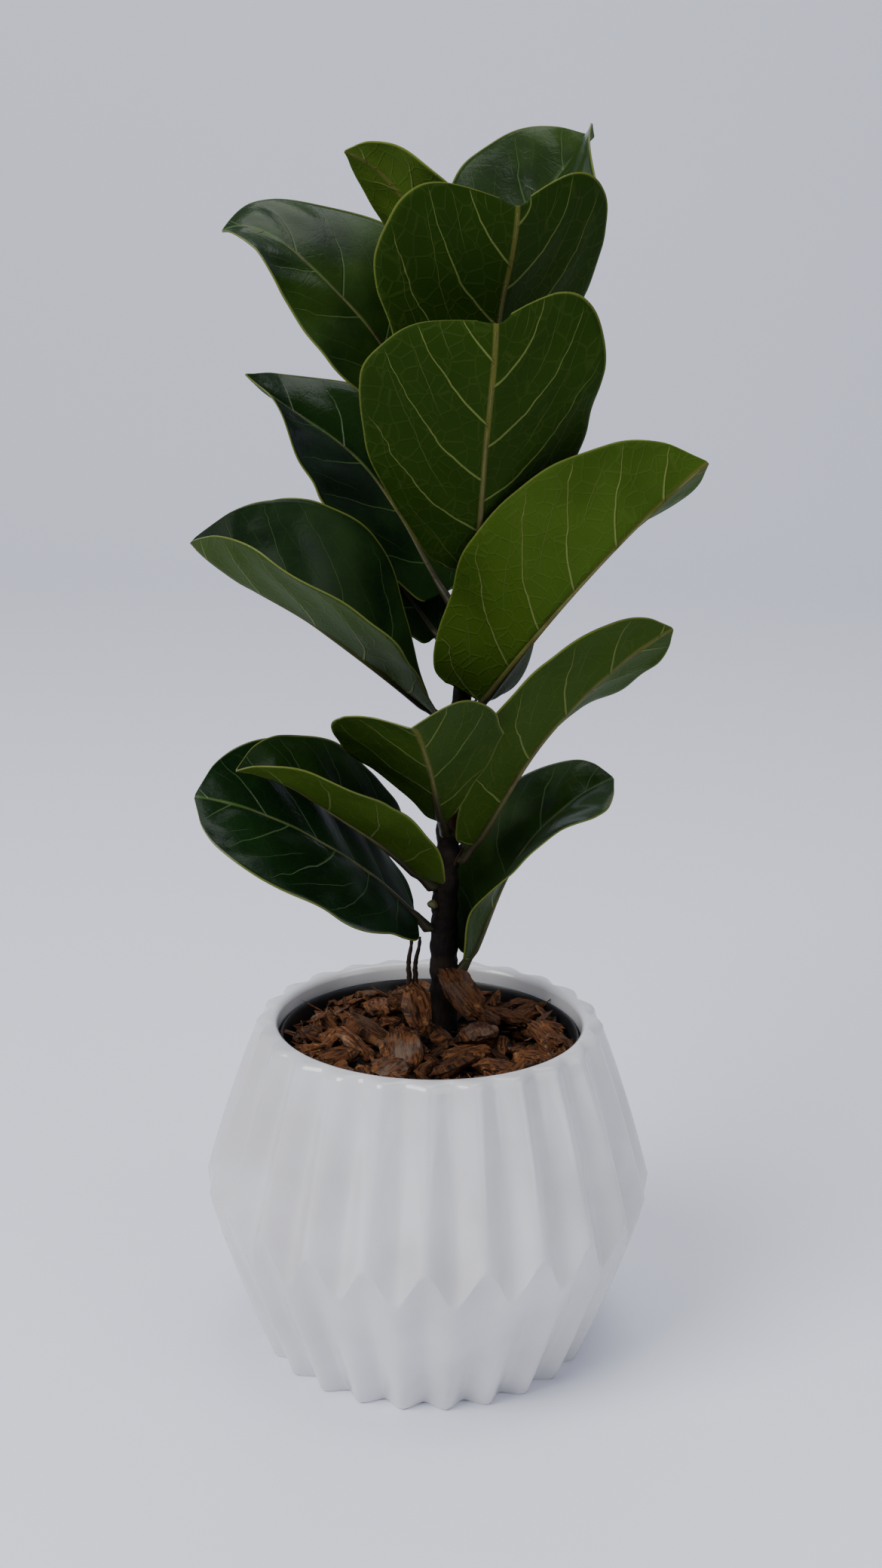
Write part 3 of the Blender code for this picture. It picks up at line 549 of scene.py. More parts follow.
def glaze(sizes):
    paint = Paint("white_glaze")
    cloud = paint.between(paint.noise(22.0, 3.0), 0.35, 0.7)
    speck = paint.between(paint.noise(900.0, 2.0), 0.70, 0.78)
    tone = paint.blend(cloud, sizes.glaze, sizes.glaze_worn)
    tone = paint.coat(tone, speck, 0.25, (0.30, 0.27, 0.24))
    peel = paint.bump(paint.noise(160.0, 2.0), 0.0003, 0.5)
    rough = paint.plus(paint.times(cloud, 0.10), 0.16)
    return paint.set(Base_Color=tone, Roughness=rough, Coat_Weight=0.5, Coat_Roughness=0.08,
                     Normal=paint.bump(paint.noise(28.0, 2.0), 0.0012, 0.35, peel))


class FIG_OT_pot(bpy.types.Operator):
    """Glazed cover pot with two bands of pleats that meet in a zigzag at the belly"""

    bl_idname = "fig.pot"
    bl_label = "Cover pot"

    def execute(self, context):
        sizes = context.scene.fig_pot
        rows = pot_profile(sizes)

        def place(angle, row):
            turn = angle + math.pi / 2
            height, radius = rows[row](wave_of(turn, sizes.pleats))
            return polar(radius, angle, height)

        pot = tube("cover_pot", sizes.pleats * 14, len(rows), place)
        smooth(pot, 50)
        dress(pot, glaze(sizes))
        hand_over(pot, "ceramic", "pot")
        return {"FINISHED"}


# Nursery pot and potting mix


GROW_POT_BASE_RADIUS = 0.046
GROW_POT_FLOOR_RADIUS = 0.0445
GROW_POT_WALL = 0.0012
GROW_POT_RIM = (  # below the top, and in from the outside
    (0.0012, 0.0), (0.0002, 0.0004), (0.0, 0.0009), (0.0006, 0.0014), (0.003, GROW_POT_WALL + 0.0003))
SOIL_FLOOR_RADIUS = 0.0425
SOIL_RINGS = 26
SOIL_LUMPS = 0.004
SOIL_HEAP = 0.006  # how much higher the soil lies round the stem


def grow_pot_radius(height):
    share = (height - GROW_POT_BOTTOM) / (GROW_POT_TOP - GROW_POT_BOTTOM)
    return mix(GROW_POT_BASE_RADIUS, GROW_POT_RADIUS, share)


class FIG_OT_grow_pot(bpy.types.Operator):
    """Thin black nursery pot with a rounded rim"""

    bl_idname = "fig.grow_pot"
    bl_label = "Nursery pot"

    def execute(self, context):
        sizes = context.scene.fig_pot
        low, top, wall = GROW_POT_BOTTOM, GROW_POT_TOP, GROW_POT_WALL
        edge = grow_pot_radius(top)
        profile = [(low, 0.02), (low, GROW_POT_FLOOR_RADIUS), (low + 0.0015, grow_pot_radius(low))]
        profile += [(h, grow_pot_radius(h)) for h in (0.03, 0.06, 0.09, 0.12)]
        profile += [(top - down, edge - inward) for down, inward in GROW_POT_RIM]
        profile += [(h, grow_pot_radius(h) - wall) for h in (0.12, 0.06, low + 0.004)]
        profile += [(low + wall, 0.043), (low + wall, 0.02)]

        def place(angle, row):
            height, radius = profile[row]
            return polar(radius, angle, height)

        pot = tube("nursery_pot", 96, len(profile), place)
        smooth(pot, 40)
        paint = Paint("black_plastic")
        dust = paint.between(paint.noise(60.0, 5.0), 0.5, 0.8)
        tone = paint.blend(paint.times(dust, 0.5), sizes.plastic, (0.07, 0.06, 0.05))
        rough = paint.plus(paint.times(dust, 0.3), 0.4)
        dress(pot, paint.set(Base_Color=tone, Roughness=rough,
                             Normal=paint.bump(paint.noise(700.0, 3.0), 0.0002, 0.4)))
        hand_over(pot, "black_plastic", "grow_pot")
        return {"FINISHED"}


class FIG_OT_soil(bpy.types.Operator):
    """Crumbly potting mix round the stem"""

    bl_idname = "fig.soil"
    bl_label = "Potting mix"

    def execute(self, context):
        pocket = STEM_BASE_RADIUS + 0.0004
        outer = grow_pot_radius(SOIL_TOP) - 0.0020

        def place(angle, row):
            if row == 0:
                return polar(SOIL_FLOOR_RADIUS, angle, SOIL_BOTTOM)
            share = (row - 1) / SOIL_RINGS
            radius = mix(outer, pocket, share)
            centre = STEM_FOOT * smooth_step(share)
            point = Vector((centre.x + radius * math.cos(angle), centre.y + radius * math.sin(angle),
                            SOIL_TOP))
            calm = math.sin(math.pi * min(share + 0.05, 0.95))
            lump = noise.fractal(point * 90.0, 0.8, 2.2, 4) * SOIL_LUMPS * calm
            point.z += lump + SOIL_HEAP * smooth_step(share)
            return point

        soil = tube("potting_mix", 112, SOIL_RINGS + 2, place)
        smooth(soil, 60)
        bed = context.scene.fig_bed
        paint = Paint("potting_mix")
        grain = paint.noise(420.0, 6.0)
        tone = paint.blend(paint.between(grain, 0.4, 0.75), bed.soil, (0.06, 0.035, 0.022))
        dress(soil, paint.set(Base_Color=tone, Roughness=0.92, Normal=paint.bump(grain, 0.0015, 0.9)))
        hand_over(soil, "soil", "soil")
        return {"FINISHED"}


# Stem

BARE_NODES = (0.158, 0.180, 0.200, 0.258, 0.270, 0.372, 0.415)  # whose leaves have dropped
NODE_SWELL = 0.20
NODE_REACH = 0.0045
SCAR_DEPTH = 0.07
SCAR_RISE = 0.006  # above its node
SCAR_WIDTH = 0.0011
SHEATHS = (  # height and azimuth of the leaf that each one wraps
    (0.285, 200), (0.288, -60), (0.314, 140), (0.332, 160), (0.345, -80), (0.394, 170), (0.395, -70),
    (0.428, 200), (0.432, 40), (0.236, 255), (0.222, -30), (0.420, 100), (0.438, -100))
SHEATH_THICKNESS = 0.0003


def stem_axis(height):
    share = (height - SOIL_TOP) / (STEM_TIP_HEIGHT - SOIL_TOP)
    sway = STEM_SWAY * math.sin(math.pi * 2 * share)
    return Vector((STEM_FOOT.x + STEM_LEAN.x * share - sway, STEM_FOOT.y + STEM_LEAN.y * share,
                   height))


def stem_radius(height):
    share = (height - SOIL_TOP) / (STEM_TIP_HEIGHT - SOIL_TOP)
    return mix(STEM_BASE_RADIUS, STEM_TIP_RADIUS, min(max(share, 0.0), 1.0))


def stem_paint(stem):
    paint = Paint("young_bark")
    place = paint.place((1.0, 1.0, 0.28))
    streaks = paint.noise(520.0, 6.0, place, 0.65)
    patches = paint.between(paint.noise(90.0, 4.0), 0.42, 0.68)
    rings = paint.between(paint.noise(260.0, 2.0, paint.place((0.15, 0.15, 1.0))), 0.55, 0.72)
    height = paint.node("ShaderNodeSeparateXYZ", {0: paint.place()}).outputs[2]
    green = paint.between(height, 0.30, 0.44)
    tone = paint.blend(patches, stem.bark, stem.bark_light)
    tone = paint.coat(tone, green, 0.7, stem.fresh)
    tone = paint.coat(tone, rings, 0.7, stem.scar)
    tone = paint.coat(tone, paint.between(streaks, 0.52, 0.7), 0.6, stem.scar)
    return paint.set(Base_Color=tone, Roughness=0.75, Normal=paint.bump(streaks, 0.0012, 0.9),
                     Specular_IOR_Level=0.15)


def sheath_paint(stem):
    paint = Paint("dry_sheath")
    fibre = paint.noise(700.0, 5.0, paint.place((1.0, 1.0, 0.15)))
    tone = paint.blend(fibre, stem.scar, (0.055, 0.030, 0.015))
    return paint.set(Base_Color=tone, Roughness=0.7, Normal=paint.bump(fibre, 0.0006, 0.8),
                     Specular_IOR_Level=0.2)


def sheath(name, height, azimuth, size, lean):
    """A dry papery scale that hugs the stem and ends in a point."""
    scale = grid(name, 6, 10)
    out = direction(azimuth, 0)
    side = Vector((-out.y, out.x, 0.0))
    radius = stem_radius(height) + 0.0005

    def place(p):
        across, along = 2 * p.x, p.y + 0.5
        width = math.sin(math.pi * min(0.5 + 0.5 * along, 0.985)) ** 0.7
        turn = across * width * 1.1
        up = height - 0.2 * size + along * size
        away = radius * (1 + 0.1 * along) + lean * along**2
        centre = stem_axis(min(up, STEM_TIP_HEIGHT))
        return (Vector((centre.x, centre.y, up)) + out * away * math.cos(turn)
                + side * away * math.sin(turn))

    move_points(scale, place)
    modify(scale, "SOLIDIFY", thickness=SHEATH_THICKNESS, offset=0.0)
    smooth(scale)
    return scale


class FIG_OT_stem(bpy.types.Operator):
    """Slender stem with swollen nodes and scars, and dry sheaths at its younger leaves"""

    bl_idname = "fig.stem"
    bl_label = "Stem"

    def execute(self, context):
        settings = context.scene.fig_stem
        rows = 210
        nodes = [leaf["foot"] for leaf in LEAVES.values()] + list(BARE_NODES)

        def place(angle, row):
            share = row / (rows - 1)
            height = mix(STEM_BOTTOM, STEM_TOP, share)
            centre = stem_axis(height) if height > SOIL_TOP else STEM_FOOT + Vector((0.0, 0.0, height))
            radius = stem_radius(height) * 0.94
            for node in nodes:
                away = (height - node) / NODE_REACH
                radius *= 1 + NODE_SWELL * math.exp(-away * away)
                groove = (height - node - SCAR_RISE) / SCAR_WIDTH
                radius *= 1 - SCAR_DEPTH * math.exp(-groove * groove)
            if height > STEM_TIP_HEIGHT:
                radius *= math.sqrt(max(0.05, 1 - ((height - STEM_TIP_HEIGHT) / 0.0031) ** 2))
            spot = Vector((math.cos(angle) * 2, math.sin(angle) * 2, height * 260))
            radius *= 1 + 0.06 * noise.fractal(spot, 0.9, 2.0, 4)
            return centre + Vector((radius * math.cos(angle), radius * math.sin(angle), 0.0))

        stem = tube("woody_stem", 28, rows, place)
        smooth(stem)
        dress(stem, stem_paint(settings))
        hand_over(stem, "stem", "stem")
        scales = [sheath(f"sheath_part_{i}", height, azimuth + 35,
                         settings.sheath * (0.8 + 0.05 * (i % 5)), 0.0012 + 0.0006 * (i % 3))
                  for i, (height, azimuth) in enumerate(SHEATHS)]
        sheaths = join(scales, "dry_sheaths")
        dress(sheaths, sheath_paint(settings))
        hand_over(sheaths, "twig")
        return {"FINISHED"}


class FIG_OT_twigs_and_buds(bpy.types.Operator):
    """Dead twigs beside the stem, the growing tip and one side bud"""

    bl_idname = "fig.twigs_and_buds"
    bl_label = "Twigs and buds"

    def execute(self, context):
        settings = context.scene.fig_stem
        twig = sheath_paint(settings)
        for name in ("dead_twig_1", "dead_twig_2"):
            low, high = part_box(name)
            foot = Vector(((low.x + high.x) / 2, (low.y + high.y) / 2, low.z))
            lean = (high.x - low.x) - 0.0022

            def place(angle, row, low=low, high=high, foot=foot, lean=lean):
                share = row / 23
                radius = 0.00125 * mix(1.0, 0.5, share**2)
                spot = Vector((math.cos(angle), math.sin(angle), share * 14))
                radius *= 1 + 0.45 * noise.noise(spot)
                x = low.x + 0.0011 + lean * share**1.4 + 0.0004 * math.sin(9 * share)
                return Vector((x + radius * math.cos(angle), foot.y + radius * math.sin(angle),
                               mix(low.z, high.z, share)))

            rod = tube(name + "_fine", 12, 24, place)
            smooth(rod)
            dress(rod, twig)
            hand_over(rod, "twig", name)
        paint = Paint("bud_scales")
        stripe = paint.noise(500.0, 4.0, paint.place((1.0, 1.0, 0.2)))
        tone = paint.blend(stripe, (0.07, 0.08, 0.018), (0.05, 0.03, 0.012))
        bud = paint.set(Base_Color=tone, Roughness=0.5, Normal=paint.bump(stripe, 0.0004, 0.6))
        for name, out in (("tip_bud", Vector((0.0, 0.0, 1.0))), ("side_bud", direction(230, 20))):
            low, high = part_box(name)
            centre = (low + high) / 2
            reach = (high.z - low.z) / 2 if name == "tip_bud" else 0.0030
            width = 0.0026 if name == "tip_bud" else 0.0021
            side = out.orthogonal().normalized()
            up = out.cross(side)

            def place(angle, row, centre=centre, out=out, reach=reach, width=width, side=side, up=up):
                share = row / 23
                radius = width * math.sin(math.pi * min(0.22 + 0.77 * share, 0.99)) ** 0.9
                radius *= 1 + 0.10 * math.cos(3 * angle + 2.5 * share)
                return centre + out * reach * (2 * share - 1) + (side * math.cos(angle)
                                                                  + up * math.sin(angle)) * radius

            tip = tube(name + "_fine", 16, 24, place)
            smooth(tip)
            dress(tip, bud)
            hand_over(tip, "bud", name)
        return {"FINISHED"}


# Leaves


def direction(azimuth, elevation):
    a, e = math.radians(azimuth), math.radians(elevation)
    return Vector((math.cos(e) * math.cos(a), math.cos(e) * math.sin(a), math.sin(e)))


def hermite(a, b, slope_a, slope_b, t):
    return (a * (2 * t**3 - 3 * t**2 + 1) + slope_a * (t**3 - 2 * t**2 + t)
            + b * (3 * t**2 - 2 * t**3) + slope_b * (t**3 - t**2))


def table_at(table, t):
    """Smooth value at t of a table of (place, value) pairs."""
    places = [row[0] for row in table]
    values = [row[1] for row in table]
    t = min(max(t, places[0]), places[-1])
    k = max(i for i in range(len(places) - 1) if places[i] <= t)
    span = places[k + 1] - places[k]

    def slope(i):
        if i in (0, len(places) - 1):
            j = 1 if i == 0 else i
            return (values[j] - values[j - 1]) / (places[j] - places[j - 1])
        return (values[i + 1] - values[i - 1]) / (places[i + 1] - places[i - 1])

    return hermite(values[k], values[k + 1], slope(k) * span, slope(k + 1) * span,
                   (t - places[k]) / span)


def leaf_path(leaf):
    """Evenly spaced points of the midrib from the stem to the tip, and its length."""
    out = direction(leaf["start"][0], 0)
    foot = stem_axis(leaf["foot"]) + out * (stem_radius(leaf["foot"]) + PETIOLE_RADIUS + GAP)
    via, tip = Vector(leaf["via"]), Vector(leaf["tip"])
    near, far = (via - foot).length, (tip - via).length
    through = (tip - foot).normalized()
    steps = 24
    dense = [hermite(foot, via, direction(*leaf["start"]) * near, through * near, i / steps)
             for i in range(steps)]
    dense += [hermite(via, tip, through * far, direction(*leaf["end"]) * far, i / steps)
              for i in range(steps + 1)]
    along = [0.0]
    for a, b in zip(dense, dense[1:]):
        along.append(along[-1] + (b - a).length)
    points = []
    k = 0
    for i in range(PATH_STEPS + 1):
        target = along[-1] * i / PATH_STEPS
        while k < len(dense) - 2 and along[k + 1] < target:
            k += 1
        points.append(mix(dense[k], dense[k + 1], (target - along[k]) / (along[k + 1] - along[k])))
    return points, along[-1]


def on_path(points, t):
    """Point and unit tangent at share t of an evenly spaced path."""
    place = min(max(t, 0.0), 1.0) * PATH_STEPS
    k = min(int(place), PATH_STEPS - 1)
    s = place - k
    before, after = points[max(k - 1, 0)], points[min(k + 2, PATH_STEPS)]
    slope_a, slope_b = (points[k + 1] - before) / 2, (after - points[k]) / 2
    ends = [(points[min(i + 1 + FRAME_REACH, PATH_STEPS)]
             - points[max(i - FRAME_REACH, 0)]).normalized() for i in (k, k + 1)]
    return (hermite(points[k], points[k + 1], slope_a, slope_b, s),
            mix(ends[0], ends[1], s).normalized())


def three_way(values, t):
    """A value that runs smoothly through its base, middle and tip values."""
    a, m, b = values
    return mix(a, m, smooth_step(2 * t)) if t < 0.5 else mix(m, b, smooth_step(2 * t - 1))


def blade_outline(leaf, t):
    """Share of the greatest half width at share t of the blade's length."""
    share = table_at(BLADE_OUTLINE, t ** (math.log(BLADE_PEAK) / math.log(leaf["peak"])))
    if t > leaf["peak"]:
        share = max(share, 0.0) ** leaf["blunt"]
    return share * mix(leaf["base"], 1.0, smooth_step(t / 0.45))


def blade_frame(leaf, tangent, t):
    out = Vector(leaf["tip"]) - stem_axis(leaf["foot"])
    side = Vector((out.y, -out.x, 0.0)).normalized()
    normal = side.cross(tangent).normalized()
    side = tangent.cross(normal).normalized()
    roll = math.radians(three_way(leaf["roll"], t))
    return (side * math.cos(roll) + normal * math.sin(roll),
            normal * math.cos(roll) - side * math.sin(roll))


def half_section(leaf, t, hand, side, normal, tangent, columns):
    """(offset from the midrib, upward normal) at each column out to one margin."""
    sign = 1 if hand == 0 else -1
    width = blade_outline(leaf, t)
    half = leaf["half"][hand] * width
    fold = leaf["fold"][hand] * mix(1.0, leaf["open"], t)
    fold += leaf["tuck"][hand] * smooth_step((t - TUCK_START) / (1 - TUCK_START))
    curl = leaf["curl"][hand]
    height, count, phase = leaf["wave"]
    ease = mix(0.6, 1.0, smooth_step(t / 0.25))
    offset = Vector((0.0, 0.0, 0.0))
    found = [(offset.copy(), normal.copy())]
    for column in range(columns):
        angle = math.radians((fold + curl * (column + 0.5) / columns) * ease)
        offset += (side * sign * math.cos(angle) + normal * math.sin(angle)) * half / columns
        u = (column + 1) / columns
        angle = math.radians((fold + curl * u) * ease)
        up = normal * math.cos(angle) - side * sign * math.sin(angle)
        turn = 2 * math.pi * (count * t + phase + 0.35 * hand)
        wave = height * u * u * math.sin(turn) * math.sin(math.pi * t)
        ahead = tangent * leaf["sweep"][hand] * u**2 * t**2 * width
        found.append((offset + up * wave + ahead, up))
    return found


def vein_turn(t, along, out, hand):
    """Count of side veins from the blade's foot; a whole number is the middle of a vein."""
    slope = mix(VEIN_SLOPE_FOOT, VEIN_SLOPE_TIP, t)
    return (along - slope * out - VEIN_BEND * out**2) / VEIN_SPACING + VEIN_STAGGER * hand


def blade_station(row, rows):
    """Share of the blade's length at a row, closer together towards both ends."""
    share = row / rows
    return 0.003 + 0.994 * mix(share, smooth_step(share), 0.55)


def build_blade(name, leaf, settings, columns=16, rows=84):
    blade = grid(name, 2 * columns, rows)
    path, total = leaf_path(leaf)
    stalk = leaf["petiole"] / total
    sections = []
    for row in range(rows + 1):
        t = blade_station(row, rows)
        point, tangent = on_path(path, (stalk + (1 - stalk) * t) * TIP_SHARE)
        side, normal = blade_frame(leaf, tangent, t)
        width = blade_outline(leaf, t)
        halves = [half_section(leaf, t, hand, side, normal, tangent, columns) for hand in (0, 1)]
        sections.append((t, point, width, halves))
    metres = {}

    def place(p):
        row, column = round((p.y + 0.5) * rows), round(2 * p.x * columns)
        t, point, width, halves = sections[row]
        hand = 0 if column >= 0 else 1
        half = leaf["half"][hand] * width
        u = abs(column) / columns
        offset, up = halves[hand][abs(column)]
        along = t * (1 - stalk) * total
        turn = vein_turn(t, along, u * half, hand)
        swell = (1 - math.cos(2 * math.pi * turn)) / 2
        swell = swell**0.7 * math.sin(math.pi * min(u + 0.06, 1.0)) ** 0.6 * min(1.0, half / 0.02)
        swell *= smooth_step(t / 0.3)
        spot = Vector((u * 3 + 7 * hand, t * 9, leaf["foot"] * 90))
        lump = 0.35 * noise.noise(spot) * min(1.0, 4 * u)
        wave = noise.noise(Vector((5 * hand, t * 6, leaf["foot"] * 50))) * u**3
        stray = 1 + WOBBLE * u * noise.noise(Vector((t * 7, 3 * hand, leaf["foot"] * 80)))
        metres[(column + columns, row)] = ((1 if hand == 0 else -1) * u * half, along)
        calm = smooth_step((1 - t) / 0.12)
        rise = (settings.pucker * (swell + lump - 0.5) + RIPPLE * wave) * calm
        return point + offset * stray + up * rise

    layer = blade.data.uv_layers[0]
    layer.name = "blade"
    second = blade.data.uv_layers.new(name="metres")
    keys = [(round((v.co.x + 0.5) * 2 * columns), round((v.co.y + 0.5) * rows))
            for v in blade.data.vertices]
    move_points(blade, place)
    for loop in blade.data.loops:
        column, row = keys[loop.vertex_index]
        layer.data[loop.index].uv = (column / (2 * columns), sections[row][0])
        second.data[loop.index].uv = metres[(column, row)]
    return blade


def build_rib(name, leaf, sides=14, rows=70):
    """Petiole and midrib in one tapering rod, from inside the stem to near the tip."""
    path, total = leaf_path(leaf)
    stalk = leaf["petiole"] / total
    out = direction(leaf["start"][0], 0)
    reach = PETIOLE_RADIUS + GAP + 0.4 * stem_radius(leaf["foot"])

    def place(angle, row):
        share = (row - 1) / (rows - 2) * 0.97
        blade_share = min(max((share - stalk) / (1 - stalk), 0.0), 1.0)
        point, tangent = on_path(path, max(share, 0.0))
        side, normal = blade_frame(leaf, tangent, blade_share)
        radius = PETIOLE_RADIUS * mix(0.92, 0.14, smooth_step(blade_share / 0.95) ** 0.45)
        if share < 0.05:
            radius *= 1 + 0.35 * (1 - max(share, 0.0) / 0.05)
        if row == 0:
            point = point - out * reach
        sink = radius * 0.55 * smooth_step(blade_share / 0.05)
        return point - normal * sink + (side * math.cos(angle) + normal * math.sin(angle)) * radius

    return tube(name, sides, rows, place)


def vein_masks(paint, width):
    """Shares for side veins, midrib and margin, and a net of fine veins."""
    u, t = paint.uv("blade")
    x, y = paint.uv("metres")
    place = paint.node("ShaderNodeUVMap", uv_map="metres").outputs[0]
    warp = paint.noise(45.0, 3.0, place)
    signed = paint.minus(paint.times(u, 2.0), 1.0)
    across = paint.math("ABSOLUTE", signed)
    inward = paint.minus(1.0, across)
    left = paint.math("LESS_THAN", signed, 0.0)
    out = paint.math("ABSOLUTE", x)
    slope = paint.plus(VEIN_SLOPE_FOOT, paint.times(t, VEIN_SLOPE_TIP - VEIN_SLOPE_FOOT))
    forward = paint.plus(paint.times(out, slope),
                         paint.times(paint.math("POWER", out, 2.0), VEIN_BEND))
    wander = paint.times(paint.times(paint.minus(warp, 0.5), VEIN_WANDER), across)
    forward = paint.plus(forward, wander)
    turn = paint.plus(paint.math("DIVIDE", paint.minus(y, forward), VEIN_SPACING),
                      paint.times(left, VEIN_STAGGER))

    def lines(turns, breadth):
        part = paint.math("FRACT", turns)
        near = paint.math("MINIMUM", part, paint.minus(1.0, part))
        away = paint.times(near, VEIN_SPACING)
        thin = paint.plus(paint.times(inward, breadth * 0.75), breadth * 0.25)
        return paint.minus(1.0, paint.between(paint.math("DIVIDE", away, thin), 0.5, 1.7))

    side = paint.times(lines(turn, width * 1.25), paint.between(inward, 0.02, 0.14))
    steep = paint.minus(turn, paint.math("DIVIDE", out, BRANCH_SPREAD))
    branch = paint.times(lines(steep, width * 0.9),
                        paint.times(paint.between(across, 0.30, 0.50),
                                    paint.between(inward, 0.05, 0.25)))
    side = paint.math("MAXIMUM", side, paint.times(branch, 0.5))
    rib = paint.minus(1.0, paint.between(out, width, width * 3.0))
    half = paint.math("DIVIDE", out, paint.math("MAXIMUM", across, 0.001))
    edge = paint.times(inward, half)
    # The margin share is a thin band along the edge, where the painted edge highlight goes
    margin = paint.minus(1.0, paint.between(edge, 0.0002, 0.0010))
    bent = paint.node("ShaderNodeVectorMath", {0: place, 1: paint.node(
        "ShaderNodeCombineXYZ", {0: paint.times(warp, 0.006), 1: 0.0, 2: 0.0}).outputs[0]},
        operation="ADD").outputs[0]
    net = paint.minus(1.0, paint.between(paint.cells(150.0, bent), 0.01, 0.07))
    fine = paint.minus(1.0, paint.between(paint.cells(700.0, bent), 0.03, 0.16))
    return side, rib, margin, net, fine


def near_stem(paint, low, high):
    """1 within low of the pot's axis, 0 beyond high."""
    away = paint.node("ShaderNodeVectorMath", {0: paint.place((1.0, 1.0, 0.0))},
                      operation="LENGTH").outputs["Value"]
    return paint.minus(1.0, paint.between(away, low, high))


def upper_paint(leaf):
    paint = Paint("leaf_upper_side")
    side, rib, margin, net, fine = vein_masks(paint, 0.00034)
    age, _ = paint.tone()
    cloud = paint.noise(30.0, 3.0)
    tone = paint.blend(age, leaf.upper_fresh, leaf.upper)
    tone = paint.coat(tone, paint.between(cloud, 0.35, 0.70), age, leaf.upper_dark)
    tone = paint.coat(tone, net, 0.03, leaf.vein)
    tone = paint.coat(tone, side, 0.75, leaf.vein)
    tone = paint.coat(tone, rib, 0.80, leaf.vein)
    # Painted highlight along the leaf's edge, over its paler margin
    tone = paint.coat(tone, margin, 0.75, leaf.margin)
    fleck = paint.between(paint.noise(260.0, 5.0), 0.70, 0.80)
    tone = paint.coat(tone, fleck, 0.10, (0.05, 0.05, 0.02))
    dent = paint.plus(paint.times(side, -1.0), paint.times(net, -0.06))
    dent = paint.plus(dent, paint.times(fine, -0.03))
    relief = paint.bump(dent, 0.0004, 0.7)
    relief = paint.bump(paint.noise(420.0, 2.0), 0.00016, 0.6, relief)
    near = near_stem(paint, 0.025, 0.062)
    rough = paint.plus(0.15, paint.times(paint.noise(55.0, 4.0), 0.16))
    rough = paint.plus(rough, paint.times(near, 0.38))
    level = paint.minus(0.17, paint.times(near, 0.14))
    return paint.set(Base_Color=tone, Roughness=rough, Normal=relief, Specular_IOR_Level=level)


def under_paint(leaf):
    paint = Paint("leaf_underside")
    side, rib, margin, net, fine = vein_masks(paint, 0.00050)
    # Each leaf's underside is painted lighter where light shines through it and darker where it lies
    # in shade, over its own tone
    _, underside_tone_and_light = paint.tone()
    cloud = paint.noise(24.0, 3.0)
    tone = paint.blend(underside_tone_and_light, leaf.under_dark_and_shaded, leaf.under)
    tone = paint.coat(tone, paint.between(cloud, 0.35, 0.70), 0.35, leaf.under_dark_and_shaded)
    tone = paint.coat(tone, net, 0.07, leaf.vein_under)
    tone = paint.blend(side, tone, leaf.vein_under)
    tone = paint.blend(rib, tone, leaf.rib)
    # Painted highlight along the leaf's edge, over its paler margin
    tone = paint.coat(tone, margin, 0.6, leaf.margin)
    ridge = paint.plus(side, paint.times(net, 0.2))
    ridge = paint.plus(ridge, paint.times(fine, 0.05))
    return paint.set(Base_Color=tone, Roughness=0.6, Normal=paint.bump(ridge, 0.0009, 0.8),
                     Specular_IOR_Level=0.09, Specular_Tint=(0.65, 0.85, 0.35, 1.0))


def rib_paint(leaf):
    paint = Paint("leaf_stalk")
    cloud = paint.noise(120.0, 4.0)
    tone = paint.blend(paint.between(cloud, 0.4, 0.7), leaf.rib, leaf.stalk)
    tone = paint.blend(near_stem(paint, 0.012, 0.040), tone, leaf.petiole)
    return paint.set(Base_Color=tone, Roughness=0.5, Specular_IOR_Level=0.3,
                     Normal=paint.bump(paint.noise(600.0, 3.0), 0.0003, 0.6))


class FIG_OT_leaves(bpy.types.Operator):
    """Every leaf: a blade swollen between its veins, on its petiole and midrib"""

    bl_idname = "fig.leaves"
    bl_label = "Leaves"

    def execute(self, context):
        settings = context.scene.fig_leaf
        upper, under, stalk = upper_paint(settings), under_paint(settings), rib_paint(settings)
        for name, leaf in LEAVES.items():
            blade = build_blade(name + "_blade", leaf, settings)
            dress(blade, upper, under)
            modify(blade, "SOLIDIFY", thickness=settings.thickness, offset=0.0, material_offset=1,
                   material_offset_rim=0)
            rib = build_rib(name + "_rib", leaf)
            dress(rib, stalk)
            # The second number sets the underside's own tone together with its painted light and shade
            tint(blade, leaf["age"], leaf["underside_tone_and_light"])
            whole = join([blade, rib], name + "_fine")
            smooth(whole)
            hand_over(whole, "leaf", name)
        return {"FINISHED"}


# Bark

BARK_SEED = 5
FLAKE_STEPS = 5  # levels that the torn layers of a chip stand at
CHIP_ROUGHNESS = 0.0006
BARK_HEAP = 0.006  # how much higher the bits lie round the stem
BARK_HEAP_RADIUS = 0.022
WALL_RISE = 0.0035  # how much higher they lie along the nursery pot's wall


def bark_paint(bed):
    paint = Paint("broken_bark")
    place = paint.node("ShaderNodeUVMap", uv_map="grain").outputs[0]
    along = paint.place((1.0, 5.0, 1.0), place)
    fibre = paint.noise(150.0, 6.0, along, 0.62)
    layers = paint.noise(60.0, 3.0, paint.place((1.0, 2.2, 1.0), place))
    red, grey = paint.tone()
    tone = paint.blend(paint.times(paint.between(fibre, 0.38, 0.60), 0.95), bed.bark_dark,
                       bed.bark_red)
    torn = paint.between(paint.noise(240.0, 5.0, place, 0.7), 0.56, 0.66)
    tone = paint.coat(tone, torn, 0.6, bed.bark_fresh)
    tone = paint.coat(tone, paint.between(layers, 0.45, 0.7), grey, bed.bark_grey)
    shade = paint.node("ShaderNodeHueSaturation",
                       {"Color": tone, "Value": paint.plus(red, 0.45)}).outputs[0]
    relief = paint.bump(fibre, 0.0016, 1.0)
    return paint.set(Base_Color=shade, Roughness=0.86, Normal=relief, Specular_IOR_Level=0.15)


def long_axes(points):
    """Middle and the three axes of a set of points, longest first."""
    middle = points.mean(0)
    _, _, axes = np.linalg.svd(points - middle, full_matrices=False)
    return middle, axes


